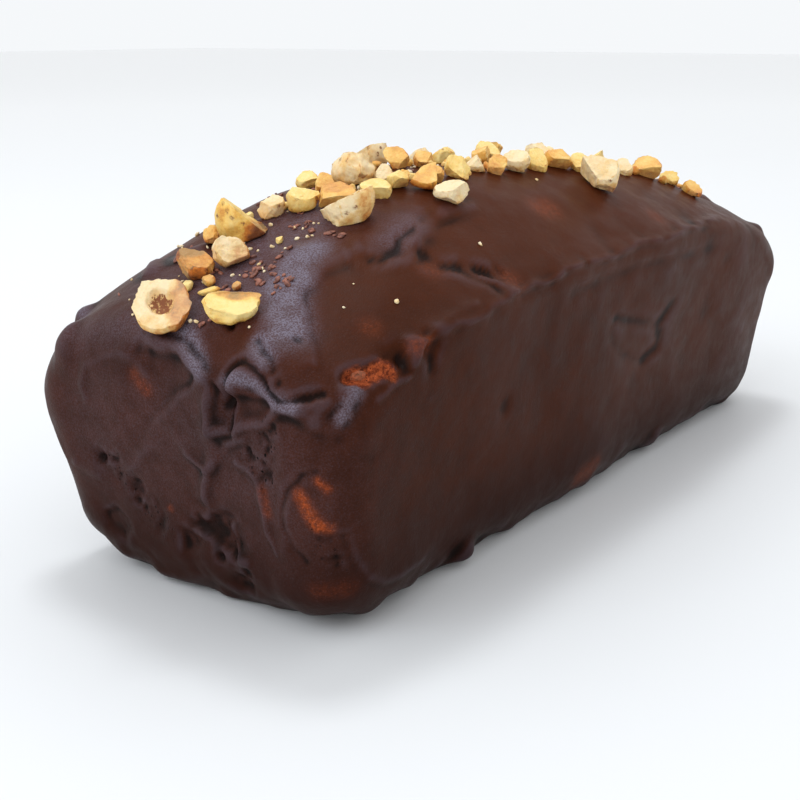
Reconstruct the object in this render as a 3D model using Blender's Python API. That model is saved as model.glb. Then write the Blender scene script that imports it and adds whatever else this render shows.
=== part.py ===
"""A chocolate-coated loaf cake with chopped roasted hazelnuts along its crown.

Metres. +X runs along the loaf to its far end, +Y runs across it, and +Z runs up
from the table. The origin is at the middle of the underside.
"""
import math

import bmesh
import bpy
import numpy as np
from mathutils import Matrix, Vector
from mathutils.bvhtree import BVHTree

# Outer form of the coated loaf
LENGTH = 0.250
WIDTH = 0.097
CORNER_RADIUS = 0.012
RIM_HEIGHT = 0.0541
RIM_ARCH = 0.0157
RIM_POWER = 2.58
CROWN_PEAK = 0.0208
CROWN_PEAK_X = -0.060
CROWN_NEAR_END = 0.0096
CROWN_FAR_END = 0.0118
NEAR_FALL_POWER = 1.33
FAR_FALL_POWER = 1.80
SHOWN_SIDE_ROUNDNESS = 2.35
OTHER_SIDE_ROUNDNESS = 2.60
RIDGE_HALF_LENGTH = 0.097

# Walls lean in toward the table and tuck under at the foot
WALL_LEAN = 0.0070
FOOT_HEIGHT = 0.0143
FOOT_TUCK = 0.0099
FOOT_CURL = 0.94

# The foot tucks under by its own amount at a corner: end, side, added tuck, reach
CORNER_TUCKS = (
    (-1, -1, 0.0065, 0.020),
    (-1, 1, 0.0025, 0.016),
    (1, -1, -0.0030, 0.018),
)

# The crease between wall and top is crisp on the long sides and soft at the ends
CREASE_AT_SIDES = 0.0045
CREASE_AT_ENDS = 0.0100
END_ZONE = 0.030

# Each corner of the crease sags by its own amount: end, side, sag, reach
CORNER_SAGS = (
    (-1, 1, 0.0085, 0.017),
    (-1, -1, 0.0030, 0.014),
    (1, -1, 0.0045, 0.016),
    (1, 1, 0.0060, 0.016),
)

# Layers
COAT_THICKNESS = 0.0026
SPONGE_DEPTH = 0.0031
REST_GAP = 0.0003

# Mesh density: columns round the loaf, closer together toward the near end
COAT_COLUMNS = 128
NEAR_END_CROWDING = 2.6
COAT_ROWS = (0, 0.04, 0.10, 0.18, 0.28, 0.39, 0.50, 0.60, 0.69, 0.77, 0.85, 0.92, 1,
             1.25, 1.5, 1.75, 2, 2.07, 2.15, 2.25, 2.38, 2.52, 2.67, 2.83, 3)
SPONGE_ROWS = (0, 0.12, 0.50, 1, 1.5, 2, 2.3, 2.65, 3)

MM = 0.001


def smooth(t):
    """Ease from 0 to 1 with level ends."""
    t = np.clip(t, 0.0, 1.0)
    return t * t * (3.0 - 2.0 * t)


def unit(vectors):
    """Scale vectors to a length of one."""
    return vectors / np.maximum(np.linalg.norm(vectors, axis=-1, keepdims=True), 1e-12)


def plan_outline(place):
    """Point on the outline seen from above, for a place 0..1 round it.

    The outline is a rounded rectangle, walked anticlockwise from the middle of
    the far end. The second result points out of the loaf, level.
    """
    long_half = LENGTH / 2 - CORNER_RADIUS
    short_half = WIDTH / 2 - CORNER_RADIUS
    quarter = math.pi / 2 * CORNER_RADIUS
    runs = [short_half, quarter, 2 * long_half, quarter, 2 * short_half,
            quarter, 2 * long_half, quarter, short_half]
    starts = np.concatenate([[0.0], np.cumsum(runs)])
    walked = np.asarray(place) % 1.0 * starts[-1]
    run = np.clip(np.searchsorted(starts, walked, side="right") - 1, 0, 8)
    along = walked - starts[run]
    centres = np.array([(1, 0), (1, 1), (1, 1), (-1, 1), (-1, 1),
                        (-1, -1), (-1, -1), (1, -1), (1, -1)]) * (long_half, short_half)
    facing = np.array([0, 0, 1, 1, 2, 2, 3, 3, 4]) * math.pi / 2
    turning = np.array([0, 1, 0, 1, 0, 1, 0, 1, 0])
    angle = facing[run] + turning[run] * along / CORNER_RADIUS
    out = np.stack([np.cos(angle), np.sin(angle)], axis=-1)
    sideways = np.stack([-np.sin(angle), np.cos(angle)], axis=-1)
    slide = (along * (1 - turning[run]))[..., None] * sideways
    return centres[run] + CORNER_RADIUS * out + slide, out


def top_height(x, y):
    """Height of the domed top above the table, crease included."""
    along = np.clip(np.abs(x) / (LENGTH / 2), 0, 1)
    across = np.clip(np.abs(y) / (WIDTH / 2), 0, 1)
    rim = RIM_HEIGHT + RIM_ARCH * (1 - along ** RIM_POWER)
    near = x < CROWN_PEAK_X
    span = np.where(near, LENGTH / 2 + CROWN_PEAK_X, LENGTH / 2 - CROWN_PEAK_X)
    from_peak = np.clip(np.abs(x - CROWN_PEAK_X) / span, 0, 1)
    fall = from_peak ** np.where(near, NEAR_FALL_POWER, FAR_FALL_POWER)
    end = np.where(near, CROWN_NEAR_END, CROWN_FAR_END)
    crown = CROWN_PEAK + (end - CROWN_PEAK) * fall
    roundness = np.where(y < 0, SHOWN_SIDE_ROUNDNESS, OTHER_SIDE_ROUNDNESS)
    height = rim + crown * (1 - across ** roundness)
    for end, side, sag, reach in CORNER_SAGS:
        away = (x - end * LENGTH / 2) ** 2 + (y - side * WIDTH / 2) ** 2
        height = height - sag * np.exp(-away / reach ** 2)
    return height


def foot_tuck(outline):
    """How far the foot curls in under the wall at a point of the outline."""
    tuck = np.full(outline.shape[:-1], FOOT_TUCK)
    for end, side, added, reach in CORNER_TUCKS:
        away = (outline[..., 0] - end * LENGTH / 2) ** 2
        away = away + (outline[..., 1] - side * WIDTH / 2) ** 2
        tuck = tuck + added * np.exp(-away / reach ** 2)
    return tuck


def wall_inset(height, rim, tuck):
    """How far the wall stands in from the crease at a height."""
    up = np.clip(height / rim, 0, 1)
    under = FOOT_CURL * np.clip(1 - height / FOOT_HEIGHT, 0, 1)
    return WALL_LEAN * (1 - up) + tuck * (1 - np.sqrt(1 - under * under))


def loaf_surface(place, rise, depth=0.0):
    """Smooth form of the loaf, sunk by a depth under the outside.

    Rise runs 0..1 up the wall, 1..2 round the crease and 2..3 over the top to
    the ridge line.
    """
    place = np.asarray(place, float)
    rise = np.asarray(rise, float)
    outline, _ = plan_outline(place)
    core = np.clip(outline / (LENGTH / 2 - CORNER_RADIUS, WIDTH / 2 - CORNER_RADIUS), -1, 1)
    tuck = foot_tuck(outline)
    shrink = np.array([LENGTH / (LENGTH - 2 * depth), WIDTH / (WIDTH - 2 * depth)])

    def top_point(flat):
        height = top_height(flat[..., 0] * shrink[0], flat[..., 1] * shrink[1]) - depth
        return np.concatenate([flat, height[..., None]], axis=-1)

    def wall_point(height, rim):
        flat = outline - core * (wall_inset(height, rim, tuck) + depth)[..., None]
        return np.concatenate([flat, height[..., None]], axis=-1)

    edge = outline - core * depth
    rim = top_point(edge)[..., 2]
    end_share = smooth((np.abs(outline[..., 0]) - LENGTH / 2 + END_ZONE) / END_ZONE)
    radius = CREASE_AT_SIDES + (CREASE_AT_ENDS - CREASE_AT_SIDES) * end_share
    fold = np.where(place % 1.0 <= 0.5, 1 - 4 * (place % 1.0), 4 * (place % 1.0) - 3)
    ridge = np.stack([RIDGE_HALF_LENGTH * fold, np.zeros_like(fold)], axis=-1)
    inward = ridge - edge
    start = radius / np.linalg.norm(inward, axis=-1)

    wall = wall_point((rim - radius) * np.clip(rise, 0, 1), rim)
    reach = start + (1 - start) * np.clip(rise - 2, 0, 1)
    top = top_point(edge + inward * reach[..., None])
    turn = np.clip(rise - 1, 0, 1)[..., None]
    below = wall_point(rim - radius, rim)
    corner = np.concatenate([edge, rim[..., None]], axis=-1)
    beyond = top_point(edge + inward * start[..., None])
    crease = (1 - turn) ** 2 * below + 2 * turn * (1 - turn) * corner + turn ** 2 * beyond
    level = rise[..., None]
    return np.where(level <= 1, wall, np.where(level < 2, crease, top))


def loaf_normal(place, rise):
    """Direction out of the smooth outer form."""
    step = 1e-4
    ahead = loaf_surface(place + step, rise) - loaf_surface(place - step, rise)
    low = np.maximum(rise - step, 0)
    above = loaf_surface(place, np.minimum(rise + step, 1.9999)) - loaf_surface(place, low)
    side = unit(np.cross(ahead, above))
    point = loaf_surface(place, rise)
    x, y = point[..., 0], point[..., 1]
    slope_x = (top_height(x + step, y) - top_height(x - step, y)) / (2 * step)
    slope_y = (top_height(x, y + step) - top_height(x, y - step)) / (2 * step)
    top = unit(np.stack([-slope_x, -slope_y, np.ones_like(x)], axis=-1))
    return np.where((np.asarray(rise) >= 1.999)[..., None], top, side)


def waves(points, size, seed):
    """Smooth unevenness from -1 to 1 with swells about one size across."""
    draw = np.random.default_rng(seed)
    total = np.zeros(points.shape[:-1])
    for _ in range(7):
        direction = unit(draw.normal(size=3)) * 2 * math.pi / (size * draw.uniform(0.8, 1.6))
        total += np.sin(points @ direction + draw.uniform(0, 2 * math.pi))
    return total / 3.0


def nearest_on_path(points, path):
    """Offset from the nearest place on a path to each point."""
    best = None
    for start, end in zip(path[:-1], path[1:]):
        run = end - start
        share = np.clip((points - start) @ run / (run @ run), 0, 1)
        offset = points - start - share[..., None] * run
        if best is None:
            best = offset
        else:
            nearer = (offset ** 2).sum(-1) < (best ** 2).sum(-1)
            best = np.where(nearer[..., None], offset, best)
    return best


def bead(points, path, width, height):
    """A rounded ridge along a path, or a groove where the height is negative."""
    offset = nearest_on_path(points, np.array(path) * MM)
    return height * np.exp(-(offset ** 2).sum(-1) / width ** 2)


def lip(points, path, toward, height, edge, fade):
    """The edge of a sheet: steep on one side, fading slowly toward the other."""
    offset = nearest_on_path(points, np.array(path) * MM)
    distance = np.linalg.norm(offset, axis=-1)
    behind = offset @ unit(np.array(toward, float)) > 0
    return height * np.where(behind, np.exp(-distance / fade), np.exp(-(distance / edge) ** 2))


def knob(points, centre, radius, height):
    """A rounded lump, or a pit where the height is negative."""
    away = ((points - np.array(centre) * MM) ** 2).sum(-1)
    return height * np.exp(-(away / radius ** 2) ** 1.5)


# Relief of the poured chocolate, in millimetres from the origin: where the sheets end
SHEET_EDGES = (
    (((-124, -19, 55), (-123, -26, 60), (-123, -35, 56), (-122, -40, 52)),
     (0, 0.2, 1), 2.6, 1.8, 8),
    (((-122, 5, 62), (-123, -6, 61), (-124, -12, 58), (-123.5, -14, 52), (-123, -14, 46)),
     (0, 1, 0.3), 1.5, 1.7, 11),
    (((-47, -22, 85), (-58, -24, 83), (-67, -27, 80), (-73, -29, 78)),
     (-1, 0.3, 0), 2.1, 1.8, 9),
    (((-121, 8, 36), (-119, 25, 24), (-119, 36, 26), (-121, 42, 38)),
     (0, -0.2, 1), 0.9, 1.6, 14),
)
# Rounded ridges: path, width, height
RIDGES = (
    (((-94, -13, 77), (-104, -19, 73), (-116, -25, 66), (-122, -27, 61)), 5.0, 1.4),
    (((-123, -14, 46), (-123, -20, 47), (-124, -28, 50), (-123, -34, 54)), 1.6, 0.9),
    (((-123, -14, 46), (-122, -10, 36), (-121, -7, 27)), 1.6, 0.9),
    (((-124, -33, 47), (-122, -33, 34), (-121, -30, 22)), 2.4, 0.6),
    (((-37, -48, 69), (0, -48, 70), (40, -48, 69), (82, -46, 67)), 3.4, 0.9),
    (((-104, -47, 61), (-80, -48, 65), (-60, -48, 67)), 2.6, 0.7),
)
# Grooves and slits: path, width, depth
GROOVES = (
    (((-124, -19, 54), (-123, -18, 46)), 1.5, 1.4),
    (((-74, -31, 77), (-68, -40, 73), (-65, -46, 69)), 1.6, 1.0),
    (((-64, -40, 73), (-60, -45, 70)), 1.5, 0.8),
    (((34, -46, 49), (26, -46, 44), (30, -45, 37), (21, -45, 34)), 1.9, 1.0),
    (((-93, -48, 59), (-93, -47, 52)), 1.3, 0.9),
    (((-30, -48, 63), (10, -48, 64), (60, -47, 62)), 2.2, 0.5),
)
# Lumps: centre, radius, height
LUMPS = (
    ((-116.5, -44, 55.5), 2.6, 1.2),
    ((-120, -43, 52), 2.8, 1.1),
    ((-97, -46, 63), 2.4, 0.9),
    ((-65, -38, 3), 4.2, 4.0),
    ((42, -40, 5), 3.0, 1.6),
    ((-120, 33, 56), 4.6, 1.8),
    ((-96, 18, 76), 4.0, 1.8),
    ((-122, 8, 40), 17.0, 0.9),
)
# Pits: centre, radius, depth
PITS = (
    ((-124, -26, 53), 5.0, 1.3),
    ((-78, -28, 77), 5.0, 1.2),
    ((-103, -46, 61), 3.0, 1.7),
    ((-93, -47.5, 62), 3.0, 1.5),
    ((-119.5, 24, 13), 3.6, 1.7),
    ((-120, -13, 18), 3.2, 1.7),
    ((-120, -11, 23), 2.4, 1.4),
    ((-119.6, 0.5, 15), 2.8, 1.4),
    ((-118, -14, 7), 3.4, 1.6),
    ((-120.5, 15, 25), 2.4, 1.2),
    ((-121.5, 25, 31), 2.2, 1.1),
    ((-57, -45.6, 40), 2.8, 0.7),
)


def cast_features(points):
    """Named folds, ridges, grooves, lumps and pits, in metres out of the form."""
    total = np.zeros(points.shape[:-1])
    for path, toward, height, edge, fade in SHEET_EDGES:
        total += lip(points, path, toward, height * MM, edge * MM, fade * MM)
    for path, width, height in RIDGES:
        total += bead(points, path, width * MM, height * MM)
    for path, width, depth in GROOVES:
        total -= bead(points, path, width * MM, depth * MM)
    for centre, radius, height in LUMPS:
        total += knob(points, centre, radius * MM, height * MM)
    for centre, radius, depth in PITS:
        total -= knob(points, centre, radius * MM, depth * MM)
    return total


def coat_relief(points):
    """Height of the poured coat over the smooth form.

    The sides turned away carry the same kinds of marks, half a turn round.
    """
    turned = points * (-1, -1, 1)
    marks = cast_features(points) + 0.8 * cast_features(turned)
    swell = 0.9 * MM * waves(points, 0.045, 11) + 0.35 * MM * waves(points, 0.014, 12)
    ragged = 1.3 * MM * waves(points, 0.010, 13) * np.clip(1 - points[..., 2] / 0.007, 0, 1)
    return np.clip(marks + swell + ragged, -1.8 * MM, 4.5 * MM)


def coat_surface(place, rise):
    """Outside of the chocolate, with its relief; the foot ring stays on the table."""
    points = loaf_surface(place, rise)
    shift = coat_relief(points)[..., None] * loaf_normal(place, rise)
    shift[..., 2] *= np.clip(points[..., 2] / 0.006, 0, 1)
    return points + shift


def column_places(count, crowding):
    """Places round the loaf, the same on both long sides, closer at the near end."""
    fine = np.linspace(0, 0.5, 2001)
    outline, _ = plan_outline(fine)
    weight = 1 + crowding * smooth(0.5 - outline[:, 0] / LENGTH) ** 2
    reached = np.concatenate([[0], np.cumsum((weight[1:] + weight[:-1]) / 2)])
    half = np.interp(np.linspace(0, reached[-1], count // 2 + 1), reached, fine)
    return np.concatenate([half, 1 - half[-2:0:-1]])


def closed_faces(rows, columns, first, ridge_first):
    """Quads of a loaf skin, and the join of its last row along the ridge line.

    Rows run from the foot to the ridge. The ridge has one vertex for each pair
    of columns that meet there.
    """
    def vertex(row, column):
        column %= columns
        if row < rows - 1:
            return first + row * columns + column
        return ridge_first + min(column, columns - column)

    faces = []
    for row in range(rows - 1):
        for column in range(columns):
            ring = [vertex(row, column), vertex(row, column + 1),
                    vertex(row + 1, column + 1), vertex(row + 1, column)]
            faces.append(list(dict.fromkeys(ring)))
    return faces


def skin(places, rises, surface):
    """Vertices and faces of a loaf skin, open at the foot."""
    columns, rows = len(places), len(rises)
    grid_place, grid_rise = np.meshgrid(places, np.array(rises, float))
    points = surface(grid_place, grid_rise)
    body = points[:-1].reshape(-1, 3)
    ridge = points[-1, :columns // 2 + 1]
    vertices = np.concatenate([body, ridge])
    return vertices, closed_faces(rows, columns, 0, len(body))


def make_object(name, vertices, faces, material):
    """A named mesh object at the origin with its faces turned outwards."""
    mesh = bpy.data.meshes.new(name)
    mesh.from_pydata([tuple(v) for v in vertices], [], faces)
    work = bmesh.new()
    work.from_mesh(mesh)
    bmesh.ops.triangulate(work, faces=work.faces)
    if work.calc_volume(signed=True) < 0:
        bmesh.ops.reverse_faces(work, faces=work.faces)
    work.to_mesh(mesh)
    work.free()
    mesh.materials.append(material)
    thing = bpy.data.objects.new(name, mesh)
    bpy.context.scene.collection.objects.link(thing)
    return thing


def make_material(name, colour, roughness):
    """A Principled material."""
    made = bpy.data.materials.new(name)
    made.use_nodes = True
    shader = made.node_tree.nodes["Principled BSDF"]
    shader.inputs["Base Color"].default_value = (*colour, 1.0)
    shader.inputs["Roughness"].default_value = roughness
    shader.inputs["Metallic"].default_value = 0.0
    made.diffuse_color = (*colour, 1.0)
    return made


# Nuts: kind, place along and across in mm, length, width and thickness in mm,
# then where the cut face looks (degrees round from +X, degrees up) and its spin
NUTS = (
    ("half", -120.5, 1.5, 14.0, 12.5, 6.0, 214, 46, 20),
    ("slice", -117.5, -15.0, 12.5, 7.2, 5.9, 214, 60, 90),
    ("chunk", -104.5, 8.0, 9.7, 8.0, 5.7, 250, 60, 30),
    ("chunk", -99.5, 2.0, 8.7, 7.2, 6.7, 230, 30, 75),
    ("half", -89.5, 8.5, 14.3, 11.7, 8.0, 316, 50, 25),
    ("chunk", -92.0, 14.5, 5.0, 3.9, 4.5, 200, 40, 10),
    ("chunk", -79.0, 7.0, 6.8, 6.3, 5.1, 210, 70, -60),
    ("chunk", -75.5, 2.5, 8.4, 7.2, 6.0, 240, 60, -80),
    ("slice", -70.0, -4.0, 9.5, 6.7, 5.2, 200, 62, -74),
    ("half", -76.0, -14.0, 13.6, 9.0, 7.2, 104, 63, 22),
    ("chunk", -59.5, 12.5, 6.4, 5.8, 4.5, 190, 60, 80),
    ("chunk", -63.0, 4.5, 6.2, 5.6, 5.0, 220, 50, 20),
    ("half", -54.0, 3.0, 11.7, 10.6, 6.9, 30, 35, 90),
    ("slice", -61.5, -10.5, 7.8, 6.3, 4.6, 210, 72, -84),
    ("chunk", -31.0, 6.0, 8.0, 6.1, 5.5, 200, 50, 50),
    ("chunk", -50.0, -3.5, 5.2, 4.6, 5.2, 220, 40, 0),
    ("chunk", -53.0, -10.0, 5.5, 4.6, 5.2, 260, 55, 35),
    ("slice", -49.5, -13.5, 8.6, 6.9, 5.7, 200, 60, 15),
    ("chunk", -50.0, -23.5, 9.0, 7.3, 5.4, 190, 70, -60),
    ("chunk", -32.0, -13.5, 8.1, 6.3, 5.8, 230, 35, 20),
    ("chunk", -41.5, -13.0, 5.2, 4.7, 4.7, 210, 60, 45),
    ("slice", -19.5, -11.5, 6.0, 5.0, 5.0, 140, 50, 75),
    ("chunk", 11.0, 4.0, 8.5, 6.4, 5.3, 250, 60, 10),
    ("chunk", -17.0, -14.0, 6.8, 6.2, 5.6, 215, 45, 30),
    ("chunk", -5.0, -15.0, 8.8, 7.3, 6.2, 200, 65, 65),
    ("chunk", 3.5, -16.5, 7.9, 6.2, 6.2, 225, 40, 25),
    ("chunk", 14.5, -16.5, 8.5, 6.8, 5.7, 235, 60, 40),
    ("chunk", 16.0, -29.0, 12.8, 10.5, 8.8, 205, 45, 50),
    ("chunk", 20.0, -20.0, 7.7, 6.6, 6.0, 215, 50, 15),
    ("slice", 63.0, -21.5, 9.8, 7.4, 6.2, 200, 62, -74),
    ("chunk", 49.0, -20.5, 6.2, 5.2, 4.7, 220, 50, 20),
    ("chunk", 74.5, -24.5, 6.4, 5.1, 4.5, 225, 50, 55),
    ("chunk", 76.0, -31.5, 6.9, 5.3, 4.5, 240, 50, 15),
    ("half", -24.0, 19.0, 11.0, 10.0, 6.5, 80, 60, 10),
    ("chunk", -43.0, 13.0, 7.0, 6.0, 5.0, 30, 60, 50),
    ("chunk", -24.0, 2.0, 6.5, 5.5, 4.5, 210, 60, 20),
    ("chunk", -8.0, 14.5, 7.5, 6.0, 5.5, 70, 60, 35),
    ("chunk", 8.0, 16.5, 8.0, 6.5, 5.5, 100, 55, 60),
    ("slice", 25.0, 11.5, 9.5, 7.0, 5.5, 60, 60, 20),
    ("chunk", 46.0, 7.0, 8.0, 6.5, 6.0, 40, 55, 75),
    ("chunk", 66.0, -3.0, 7.5, 6.0, 5.5, 120, 60, 30),
    ("chunk", 8.0, 3.0, 7.0, 6.0, 5.0, 150, 65, 20),
    ("chunk", 30.0, -4.0, 7.5, 6.0, 5.0, 190, 60, 80),
)
# Chips fused to the coat, in the same terms
CHIPS = (
    (-110.0, 5.5, 3.8, 2.6, 1.8, 30),
    (-108.0, 0.5, 4.0, 2.6, 2.2, 75),
    (-111.5, -2.5, 5.0, 2.4, 1.4, 140),
    (-108.5, -8.0, 2.8, 2.2, 1.4, 20),
    (-76.5, 6.0, 5.2, 3.0, 1.8, 165),
    (-80.5, 13.5, 3.0, 2.2, 1.8, 60),
    (-90.0, -4.0, 2.6, 1.8, 1.2, 15),
    (47.5, -16.0, 5.0, 2.0, 2.2, 40),
    (-24.5, -8.0, 3.0, 2.2, 1.8, 100),
    (91.0, -22.0, 3.6, 2.6, 1.8, 130),
    (60.0, 12.0, 3.6, 2.6, 1.8, 10),
    (-3.0, 22.0, 3.4, 2.4, 1.8, 50),
)
SUNK_SHARE = 0.24
HALF_MESH = (12, 7)
NUT_MESH = (10, 6)
SMALL_MESH = (8, 5)
SMALL_LENGTH = 6.0
CHIP_MESH = (6, 4)


def nut_form(kind, size, seed, around, up):
    """A broken hazelnut about its own middle, its cut face looking along +Z.

    Every kind starts as a round nut. A half is cut across and keeps the hollow
    of its middle, a slice is cut twice, and a chunk is split on several sides.
    """
    draw = np.random.default_rng(seed)
    polar = np.linspace(0, math.pi, up + 1)[:, None]
    turn = (np.arange(around) * 2 * math.pi / around)[None, :]
    ball = np.stack([np.sin(polar) * np.cos(turn), np.sin(polar) * np.sin(turn),
                     np.cos(polar) * np.ones_like(turn)], axis=-1)
    points = ball * (1 + 0.07 * waves(ball, 1.6, seed)[..., None])
    cuts = {"half": [((0, 0, 1), 0.12)],
            "slice": [((0, 0, 1), 0.25), ((0, 1, -0.15), 0.30)],
            "chunk": [((0, 0, 1), 0.50)]}[kind]
    cuts = [(unit(np.array(d, float)), c) for d, c in cuts]
    trims, nearest = {"half": (2, 0.80), "slice": (2, 0.62), "chunk": (4, 0.55)}[kind]
    for _ in range(trims):
        level = draw.normal(size=3) * (1, 1, 0.6)
        cuts.append((unit(level), nearest + draw.uniform(0.0, 0.25)))
    for direction, limit in cuts:
        over = np.maximum(points @ direction - limit, 0)
        points = points - over[..., None] * direction
    if kind == "half":
        radius = np.hypot(points[..., 0], points[..., 1]) / 0.55
        bowl = 0.42 * np.clip(1 - radius ** 2, 0, 1) ** 1.2
        points[..., 2] -= bowl * (polar < math.pi / 2)
    points = points - (points.max((0, 1)) + points.min((0, 1))) / 2
    return points / (points.max((0, 1)) - points.min((0, 1))) * np.array(size)


def ball_faces(around, up):
    """Faces of a form whose first and last rows are single points."""
    last = 1 + (up - 1) * around
    faces = [(0, 1 + i, 1 + (i + 1) % around) for i in range(around)]
    for row in range(up - 2):
        for i in range(around):
            a = 1 + row * around + i
            b = 1 + row * around + (i + 1) % around
            faces.append((a, a + around, b + around, b))
    low = last - around
    faces += [(last, low + (i + 1) % around, low + i) for i in range(around)]
    return faces


def ball_vertices(grid):
    """Vertices of a form for ball_faces: one point for each pole."""
    return np.concatenate([grid[0, :1], grid[1:-1].reshape(-1, 3), grid[-1, :1]])


def facing_matrix(azimuth, elevation, spin):
    """Rotation that turns +Z to a direction, after a spin about it."""
    turn = Matrix.Rotation(math.radians(azimuth), 3, "Z")
    tip = Matrix.Rotation(math.radians(90 - elevation), 3, "Y")
    return np.array(turn @ tip @ Matrix.Rotation(math.radians(spin), 3, "Z"))


def tree_of(vertices, faces):
    """A search tree over a set of faces."""
    return BVHTree.FromPolygons([tuple(v) for v in vertices], faces, epsilon=0.0)


def bedded(vertices, out):
    """Flatten the side of a nut that sank into the soft chocolate."""
    along = vertices @ out
    limit = along.min() + SUNK_SHARE * (along.max() - along.min())
    return vertices + np.maximum(limit - along, 0)[:, None] * out


def drop(vertices, out, coat_tree):
    """Lower a nut along the way out of the coat until it all but touches it."""
    start = Vector(out) * 0.02
    gaps = []
    for vertex in vertices:
        found = coat_tree.ray_cast(Vector(vertex) + start, -Vector(out))
        if found[0] is not None:
            gaps.append(found[3] - 0.02)
    return vertices - (min(gaps) - REST_GAP) * out


def settle(vertices, faces, out, coat_tree, laid):
    """Rest a nut on the coat, pushed aside from the nuts laid before it."""
    for _ in range(60):
        vertices = drop(vertices, out, coat_tree)
        middle = vertices.mean(0)
        tree = tree_of(middle + (vertices - middle) * 1.05, faces)
        met = [centre for other, centre in laid if tree.overlap(other)]
        if not met:
            break
        away = middle - np.mean(met, axis=0)
        away = away - (away @ out) * out
        vertices = vertices + unit(away) * 0.0004
    for _ in range(20):
        middle = vertices.mean(0)
        if not tree_of(middle + (vertices - middle) * 1.03, faces).overlap(coat_tree):
            break
        vertices = vertices + out * 0.0001
    return vertices


def coat_spot(coat_tree, x, y):
    """Where a nut comes to lie on the coat, and the way out of the coat there.

    The way out is between that of the dome and that of the coat within reach,
    so that a nut on a shoulder leans out with it.
    """
    def height(at_x, at_y):
        found = coat_tree.ray_cast(Vector((at_x, at_y, 0.2)), Vector((0, 0, -1)))
        return None if found[0] is None else found[0].z

    def slope(of, step):
        low, high = of(-step), of(step)
        return 0.0 if low is None or high is None else (high - low) / (2 * step)

    dome = unit(np.array([-slope(lambda d: top_height(x + d, y), MM),
                          -slope(lambda d: top_height(x, y + d), MM), 1.0]))
    coat = unit(np.array([-slope(lambda d: height(x + d, y), 3 * MM),
                          -slope(lambda d: height(x, y + d), 3 * MM), 1.0]))
    return np.array([x, y, height(x, y)]), unit(dome + coat)


def join_all(target, pieces, operation):
    """One Boolean between a body and a collection of pieces, applied."""
    group = bpy.data.collections.new("pieces")
    bpy.context.scene.collection.children.link(group)
    for piece in pieces:
        bpy.context.scene.collection.objects.unlink(piece)
        group.objects.link(piece)
        piece.hide_render = True
        piece.display_type = "WIRE"
    change = target.modifiers.new("join", "BOOLEAN")
    change.operand_type = "COLLECTION"
    change.collection = group
    change.operation = operation
    change.solver = "EXACT"
    bpy.context.view_layer.update()
    result = bpy.data.meshes.new_from_object(
        target.evaluated_get(bpy.context.evaluated_depsgraph_get()))
    target.modifiers.clear()
    target.data = result
    for piece in pieces:
        bpy.data.objects.remove(piece, do_unlink=True)
    bpy.data.collections.remove(group)


def patch_ball(name, spot, radii, sink, material):
    """A lumpy ball at the bare patch, sunk along the way out of the coat."""
    around, up = PATCH_MESH
    polar = np.linspace(0, math.pi, up + 1)[:, None]
    turn = (np.arange(around) * 2 * math.pi / around)[None, :]
    ball = np.stack([np.sin(polar) * np.cos(turn), np.sin(polar) * np.sin(turn),
                     np.cos(polar) * np.ones_like(turn)], axis=-1)
    lumpy = ball * (1 + 0.08 * waves(ball, 1.3, 6)[..., None])
    grid = lumpy * np.array(radii)
    out = unit(np.array(BARE_OUT, float))
    azimuth = math.degrees(math.atan2(out[1], out[0]))
    elevation = math.degrees(math.asin(out[2]))
    spun = grid @ facing_matrix(azimuth, elevation, BARE_SPIN).T + spot - out * sink
    return make_object(name, ball_vertices(spun), ball_faces(around, up), material)


# Where the coat is chipped off beside the crease and the sponge looks through
BARE_PATCH = (-0.1110, -0.0440)
BARE_OUT = (-0.15, -0.55, 0.82)
BARE_RADII = (0.0052, 0.0068, 0.0070)
BARE_SPIN = 12
CRUMB_RADII = (0.0020, 0.0031, 0.0034)
CRUMB_SINK = 0.0041
PATCH_MESH = (11, 8)


def build_coat(material):
    """The chocolate: relief outside, smooth inside, open under the loaf."""
    places = column_places(COAT_COLUMNS, NEAR_END_CROWDING)
    outer, outer_faces = skin(places, COAT_ROWS, coat_surface)
    inner, inner_faces = skin(places[::2], SPONGE_ROWS,
                              lambda s, r: loaf_surface(s, r, COAT_THICKNESS))
    first = len(outer)
    half = COAT_COLUMNS // 2
    faces = list(outer_faces)
    faces += [[first + v for v in reversed(face)] for face in inner_faces]
    for i in range(half):
        a, b, c = 2 * i, 2 * i + 1, (2 * i + 2) % COAT_COLUMNS
        low, high = first + i, first + (i + 1) % half
        faces += [(b, a, low), (b, low, high), (c, b, high)]
    return make_object("chocolate_coat", np.concatenate([outer, inner]), faces, material)


def build_sponge(material):
    """The cake inside the coat, with a flat underside."""
    places = column_places(COAT_COLUMNS, NEAR_END_CROWDING)[::2]
    points, faces = skin(places, SPONGE_ROWS, lambda s, r: loaf_surface(s, r, SPONGE_DEPTH))
    faces.append(list(range(len(places)))[::-1])
    return make_object("sponge", points, faces, material)


def mesh_tree(thing):
    """A search tree over an object's mesh."""
    points = [v.co.copy() for v in thing.data.vertices]
    return BVHTree.FromPolygons(points, [tuple(p.vertices) for p in thing.data.polygons])


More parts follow.
